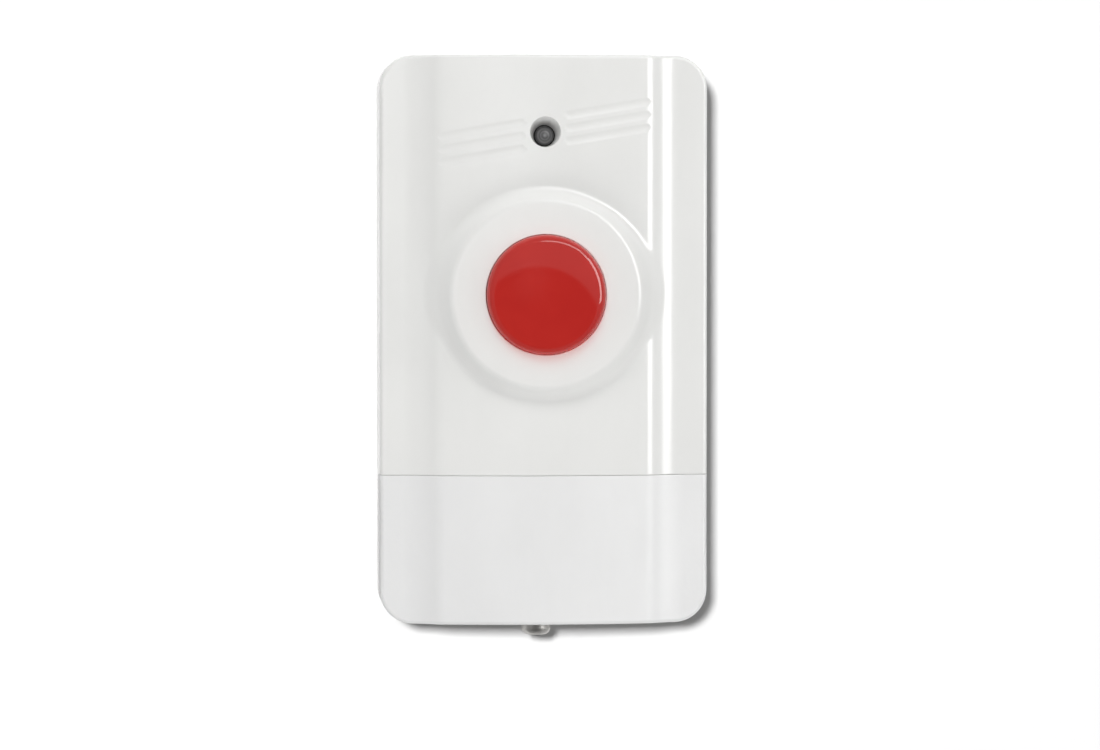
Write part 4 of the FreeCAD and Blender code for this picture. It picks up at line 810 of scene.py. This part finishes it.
def light_lens():
    """Smoky resin of the status light, its colour painted in rings: a painted glint in the middle for the
    chip, painted reflections for the cup and painted shade towards the rim.
    """
    material = new_material("light_lens")
    graph = Graph(material)
    centred = graph.add("ShaderNodeMapping")
    centred.inputs["Location"].default_value = (0.0, 0.0, -LAMP_Z * MM)
    graph.join(graph.place(), centred.inputs["Vector"])
    flat = graph.add("ShaderNodeVectorMath", operation="MULTIPLY")
    flat.inputs[1].default_value = (1.0, 0.0, 1.0)
    graph.join(centred.outputs["Vector"], flat.inputs[0])
    length = graph.add("ShaderNodeVectorMath", operation="LENGTH")
    graph.join(flat.outputs["Vector"], length.inputs[0])
    lens_radius = 1.6 * MM
    across = graph.ramp(length.outputs["Value"], 0.0, lens_radius, 0.0, 1.0)
    rings = graph.add("ShaderNodeValToRGB")
    # Painted light in the lens colour: chip is a painted glint in the middle, the cup stops are painted
    # reflections of a cup, and wall is painted shade darkening towards the rim.
    chip = [(0.0, 0.3), (0.14, 0.2), (0.24, 0.11)]
    painted_cup_reflections = [(0.42, 0.16), (0.5, 0.1), (0.66, 0.17)]
    wall = [(0.78, 0.1), (1.0, 0.08)]
    painted_ring_tones = chip + painted_cup_reflections + wall
    stops = rings.color_ramp.elements
    while len(stops) < len(painted_ring_tones):
        stops.new(0.5)
    for stop, (place, tone) in zip(stops, painted_ring_tones):
        stop.position = place
        stop.color = (tone, tone, tone * 1.02, 1)
    graph.join(across, rings.inputs["Fac"])
    cloud = graph.ramp(graph.noise(1400.0, 3.0), 0.3, 0.7, 0.08, 0.16)
    graph.surface(Base_Color=rings.outputs["Color"], Roughness=cloud, IOR=1.5, Transmission_Weight=0.1)
    return material


def board_laminate():
    """Green board: lacquered laminate with a weave, and paler tracks under the lacquer."""
    material = new_material("board_laminate")
    graph = Graph(material)
    tracks = graph.add("ShaderNodeTexBrick", offset=0.5)
    tracks.inputs["Scale"].default_value = 260.0
    tracks.inputs["Mortar Size"].default_value = 0.04
    tracks.inputs["Color1"].default_value = (0.012, 0.09, 0.035, 1)
    tracks.inputs["Color2"].default_value = (0.014, 0.105, 0.04, 1)
    tracks.inputs["Mortar"].default_value = (0.03, 0.17, 0.06, 1)
    turned = graph.add("ShaderNodeMapping")
    turned.inputs["Rotation"].default_value = (math.pi / 2, 0, 0)
    graph.join(graph.place(), turned.inputs["Vector"])
    graph.join(turned.outputs["Vector"], tracks.inputs["Vector"])
    weave = graph.bump(graph.noise(3000.0, 1.0), 0.000006)
    graph.surface(Base_Color=tracks.outputs["Color"], Roughness=0.35, Normal=weave)
    return material


def battery_jacket():
    """A plain printed sleeve: dark with a lighter band towards the plus end."""
    material = new_material("battery_jacket")
    graph = Graph(material)
    parts = graph.add("ShaderNodeSeparateXYZ")
    graph.join(graph.place(), parts.inputs["Vector"])
    band = graph.ramp(parts.outputs["X"], -0.0085, -0.0083, 0.0, 1.0)
    sleeve = graph.mix(band, (0.55, 0.42, 0.16), (0.035, 0.04, 0.05))
    wear = graph.ramp(graph.noise(700.0, 3.0), 0.3, 0.7, 0.25, 0.4)
    graph.surface(Base_Color=sleeve, Roughness=wear, Metallic=0.3)
    return material


# Colour, shade, roughness, grains a metre and the grain's depth in metres
PLASTICS = {
    "white_gloss": ((0.775, 0.775, 0.76), (0.755, 0.755, 0.74), 0.16, 1600.0, 0.000004),
    "white_matte": ((0.765, 0.765, 0.762), (0.74, 0.74, 0.737), 0.48, 2200.0, 0.00001),
    "black_plastic": ((0.02, 0.02, 0.021), (0.028, 0.028, 0.03), 0.4, 2600.0, 0.00001),
    "ceramic": ((0.25, 0.2, 0.15), (0.32, 0.26, 0.2), 0.5, 4000.0, 0.00001),
}

# Colour and roughness
METALS = {
    "spring_steel": ((0.62, 0.6, 0.57), 0.22),
    "nickel_plate": ((0.52, 0.51, 0.49), 0.42),
    "capacitor_can": ((0.2, 0.22, 0.3), 0.3),
    "copper_wire": ((0.75, 0.34, 0.16), 0.25),
    "screw_steel": ((0.55, 0.54, 0.52), 0.28),
}


def make_materials():
    made = {name: plastic(name, *values) for name, values in PLASTICS.items()}
    made.update({name: metal(name, *values) for name, values in METALS.items()})
    made["red_plastic"] = red_plastic()
    made["light_lens"] = light_lens()
    made["board_laminate"] = board_laminate()
    made["battery_jacket"] = battery_jacket()
    return made


# Which CAD nodes keep their own mesh, by finish
FINISHES = {
    "white_gloss": ["rear_case"],
    "board_laminate": ["circuit_board"],
    "black_plastic": ["tact_switch_base", "tact_switch_plunger", "encoder_chip", "rf_transistor"],
    "nickel_plate": [
        "tact_switch_lid",
        "saw_resonator",
        "positive_contact",
        "negative_contact",
        "negative_spring",
        "cover_screw",
    ],
    "capacitor_can": ["reservoir_capacitor"],
    "copper_wire": ["antenna_coil"],
    "ceramic": ["chip_resistors", "chip_capacitors"],
    "battery_jacket": ["battery"],
    "screw_steel": ["case_screws", "board_screws"],
}


def finish_nodes(materials):
    """Coats the CAD nodes that keep their own mesh."""
    for slot, names in FINISHES.items():
        for name in names:
            coated(nodes[name].data, materials[slot])


# Wall, floor, light and camera


def flat_sheet(name, corners, material):
    """A sheet of the stage with one face."""
    mesh = bpy.data.meshes.new(name)
    mesh.from_pydata(corners, [], [[0, 1, 2, 3]])
    sheet = bpy.data.objects.new(name, mesh)
    bpy.context.scene.collection.objects.link(sheet)
    mesh.materials.append(material)
    return sheet


def pale_surface(name, own_light, tone):
    """A matt surface that shows near white to the camera and keeps shadows. Its back is clear."""
    material = new_material(name)
    graph = Graph(material)
    shader = graph.add("ShaderNodeBsdfDiffuse")
    shader.inputs["Color"].default_value = (tone, tone, tone, 1)
    glow = graph.add("ShaderNodeEmission")
    ray = graph.add("ShaderNodeLightPath")
    graph.join(graph.ramp(ray.outputs["Is Camera Ray"], 0.0, 1.0, 0.0, own_light), glow.inputs["Strength"])
    both = graph.add("ShaderNodeAddShader")
    graph.join(shader.outputs["BSDF"], both.inputs[0])
    graph.join(glow.outputs["Emission"], both.inputs[1])
    clear = graph.add("ShaderNodeBsdfTransparent")
    side = graph.add("ShaderNodeNewGeometry")
    sides = graph.add("ShaderNodeMixShader")
    graph.join(side.outputs["Backfacing"], sides.inputs["Fac"])
    graph.join(both.outputs["Shader"], sides.inputs[1])
    graph.join(clear.outputs["BSDF"], sides.inputs[2])
    output = graph.add("ShaderNodeOutputMaterial")
    graph.join(sides.outputs["Shader"], output.inputs["Surface"])
    return material


def make_stage():
    """The wall and the floor. Neither keeps light from the object, so its back shows too."""
    reach, back, low, high = 1.5, 0.0004, -0.22, 1.2
    corners = [(-reach, back, low), (reach, back, low), (reach, back, high), (-reach, back, high)]
    wall = flat_sheet("wall", corners, pale_surface("wall_paint", 0.02, 0.44))
    corners = [(-reach, -2, low), (reach, -2, low), (reach, back, low), (-reach, back, low)]
    floor = flat_sheet("floor", corners, pale_surface("floor_paint", 0.6, 0.88))
    for sheet in (wall, floor):
        sheet.visible_diffuse = False
        sheet.visible_shadow = False
    floor.visible_glossy = False
    return [wall, floor]


def area_light(name, place, width, height, radiance, diffuse=True, glossy=True):
    """A rectangular light that faces the object. Radiance is what a mirror would show."""
    data = bpy.data.lights.new(name, "AREA")
    data.shape = "RECTANGLE"
    data.size = width
    data.size_y = height
    data.energy = radiance * math.pi * width * height
    lamp = bpy.data.objects.new(name, data)
    lamp.location = place
    lamp.rotation_mode = "QUATERNION"
    lamp.rotation_quaternion = (FACE_MIDDLE - place).to_track_quat("-Z", "Y")
    lamp.visible_diffuse = diffuse
    lamp.visible_glossy = glossy
    lamp.visible_camera = False
    bpy.context.scene.collection.objects.link(lamp)
    return lamp


def on_sphere(distance, right, up):
    """A place at a distance from the face's middle, right and up in degrees off straight ahead."""
    right, up = math.radians(right), math.radians(up)
    way = Vector((math.sin(right) * math.cos(up), -math.cos(right) * math.cos(up), math.sin(up)))
    return FACE_MIDDLE + way * distance


def lit_by(lamp, things, only):
    """Lets a lamp light only the given things, or everything but them."""
    group = bpy.data.collections.new(f"{lamp.name}_things")
    for thing in things:
        group.objects.link(thing)
    lamp.light_linking.receiver_collection = group
    for member in group.collection_objects:
        member.light_linking.link_state = "INCLUDE" if only else "EXCLUDE"


def passes_by(lamp, thing):
    """Lets a lamp's light reach what lies behind a thing."""
    group = bpy.data.collections.new(f"{lamp.name}_passes")
    group.objects.link(thing)
    lamp.light_linking.blocker_collection = group
    group.collection_objects[0].light_linking.link_state = "EXCLUDE"


def make_lights(stage, cap):
    """Soft light from five sides, one light for the wall, and two boxes that only reflect."""
    front = area_light("front_light", on_sphere(0.9, -5, 8), 0.26, 0.3, 7.2, glossy=False)
    upper = area_light("upper_light", on_sphere(0.8, -8, 53), 0.5, 0.36, 5.2, glossy=False)
    lower = area_light("lower_light", on_sphere(0.8, 0, -68), 0.6, 0.3, 5.6, glossy=False)
    right = area_light("right_light", on_sphere(0.8, 72, 0), 0.3, 0.4, 2.8, glossy=False)
    left = area_light("left_light", on_sphere(0.8, -75, 0), 0.3, 0.4, 1.3, glossy=False)
    for lamp in (front, upper, lower, right, left):
        lit_by(lamp, stage, False)
    passes_by(lower, cap)
    wall_light = area_light("wall_light", on_sphere(3.0, -10.8, 8.3), 0.32, 0.3, 590.0, glossy=False)
    lit_by(wall_light, stage, True)
    area_light("strip", on_sphere(0.6, 50.5, 15), 0.233, 0.46, 7.0, diffuse=False)
    area_light("top", on_sphere(0.6, 28, 44), 0.45, 0.14, 5.0, diffuse=False)


def make_world():
    """A pale tent all round with a dark round opening in front and below, white to the camera."""
    world = bpy.data.worlds.new("studio")
    bpy.context.scene.world = world
    world.use_nodes = True
    world.node_tree.nodes.clear()
    graph = Graph(world)
    way = graph.add("ShaderNodeTexCoord").outputs["Generated"]
    towards = graph.add("ShaderNodeVectorMath", operation="DOT_PRODUCT")
    graph.join(way, towards.inputs[0])
    opening_way = (-0.0099, -0.9477, -0.319)
    towards.inputs[1].default_value = opening_way
    opening, soft = math.radians(32.5), math.radians(0.8)
    near, far = math.cos(opening - soft), math.cos(opening + soft)
    tent_light, dark_light = 0.45, 0.06
    tent = graph.ramp(towards.outputs["Value"], far, near, tent_light, 0.0)
    parts = graph.add("ShaderNodeSeparateXYZ")
    graph.join(way, parts.inputs["Vector"])
    side = graph.ramp(parts.outputs["X"], -1.0, 1.0, 0.85, 1.3)
    height = graph.ramp(parts.outputs["Z"], -0.5, 0.35, 0.6, 1.0)
    both = graph.add("ShaderNodeMath", operation="MULTIPLY")
    graph.join(side, both.inputs[0])
    graph.join(height, both.inputs[1])
    product = graph.add("ShaderNodeMath", operation="MULTIPLY_ADD")
    graph.join(tent, product.inputs[0])
    graph.join(both.outputs["Value"], product.inputs[1])
    product.inputs[2].default_value = dark_light
    ray = graph.add("ShaderNodeLightPath")
    shown_white = graph.add("ShaderNodeMath", operation="MAXIMUM")
    graph.join(product.outputs["Value"], shown_white.inputs[0])
    graph.join(ray.outputs["Is Camera Ray"], shown_white.inputs[1])
    glow = graph.add("ShaderNodeBackground")
    glow.inputs["Color"].default_value = (1, 1, 1, 1)
    graph.join(shown_white.outputs["Value"], glow.inputs["Strength"])
    output = graph.add("ShaderNodeOutputWorld")
    graph.join(glow.outputs["Background"], output.inputs["Surface"])


def make_camera():
    """The camera, a little left of the middle and above it, turned back towards the face."""
    data = bpy.data.cameras.new("camera")
    data.sensor_width = 36.0
    data.lens = 150.7
    data.clip_start = 0.05
    data.clip_end = 20.0
    camera = bpy.data.objects.new("camera", data)
    camera.location = (-0.048, -0.7133, 0.016)
    camera.rotation_euler = (math.radians(88.255), 0, math.radians(-4.0))
    bpy.context.scene.collection.objects.link(camera)
    bpy.context.scene.camera = camera


materials = make_materials()
finish_nodes(materials)
front_case(materials["white_gloss"])
battery_cover(materials["white_matte"])
cap = button_cap(materials["red_plastic"])
status_light(materials["light_lens"])
return_spring(materials["spring_steel"])
make_lights(make_stage(), cap)
make_world()
make_camera()
bpy.context.scene.view_settings.view_transform = "Standard"
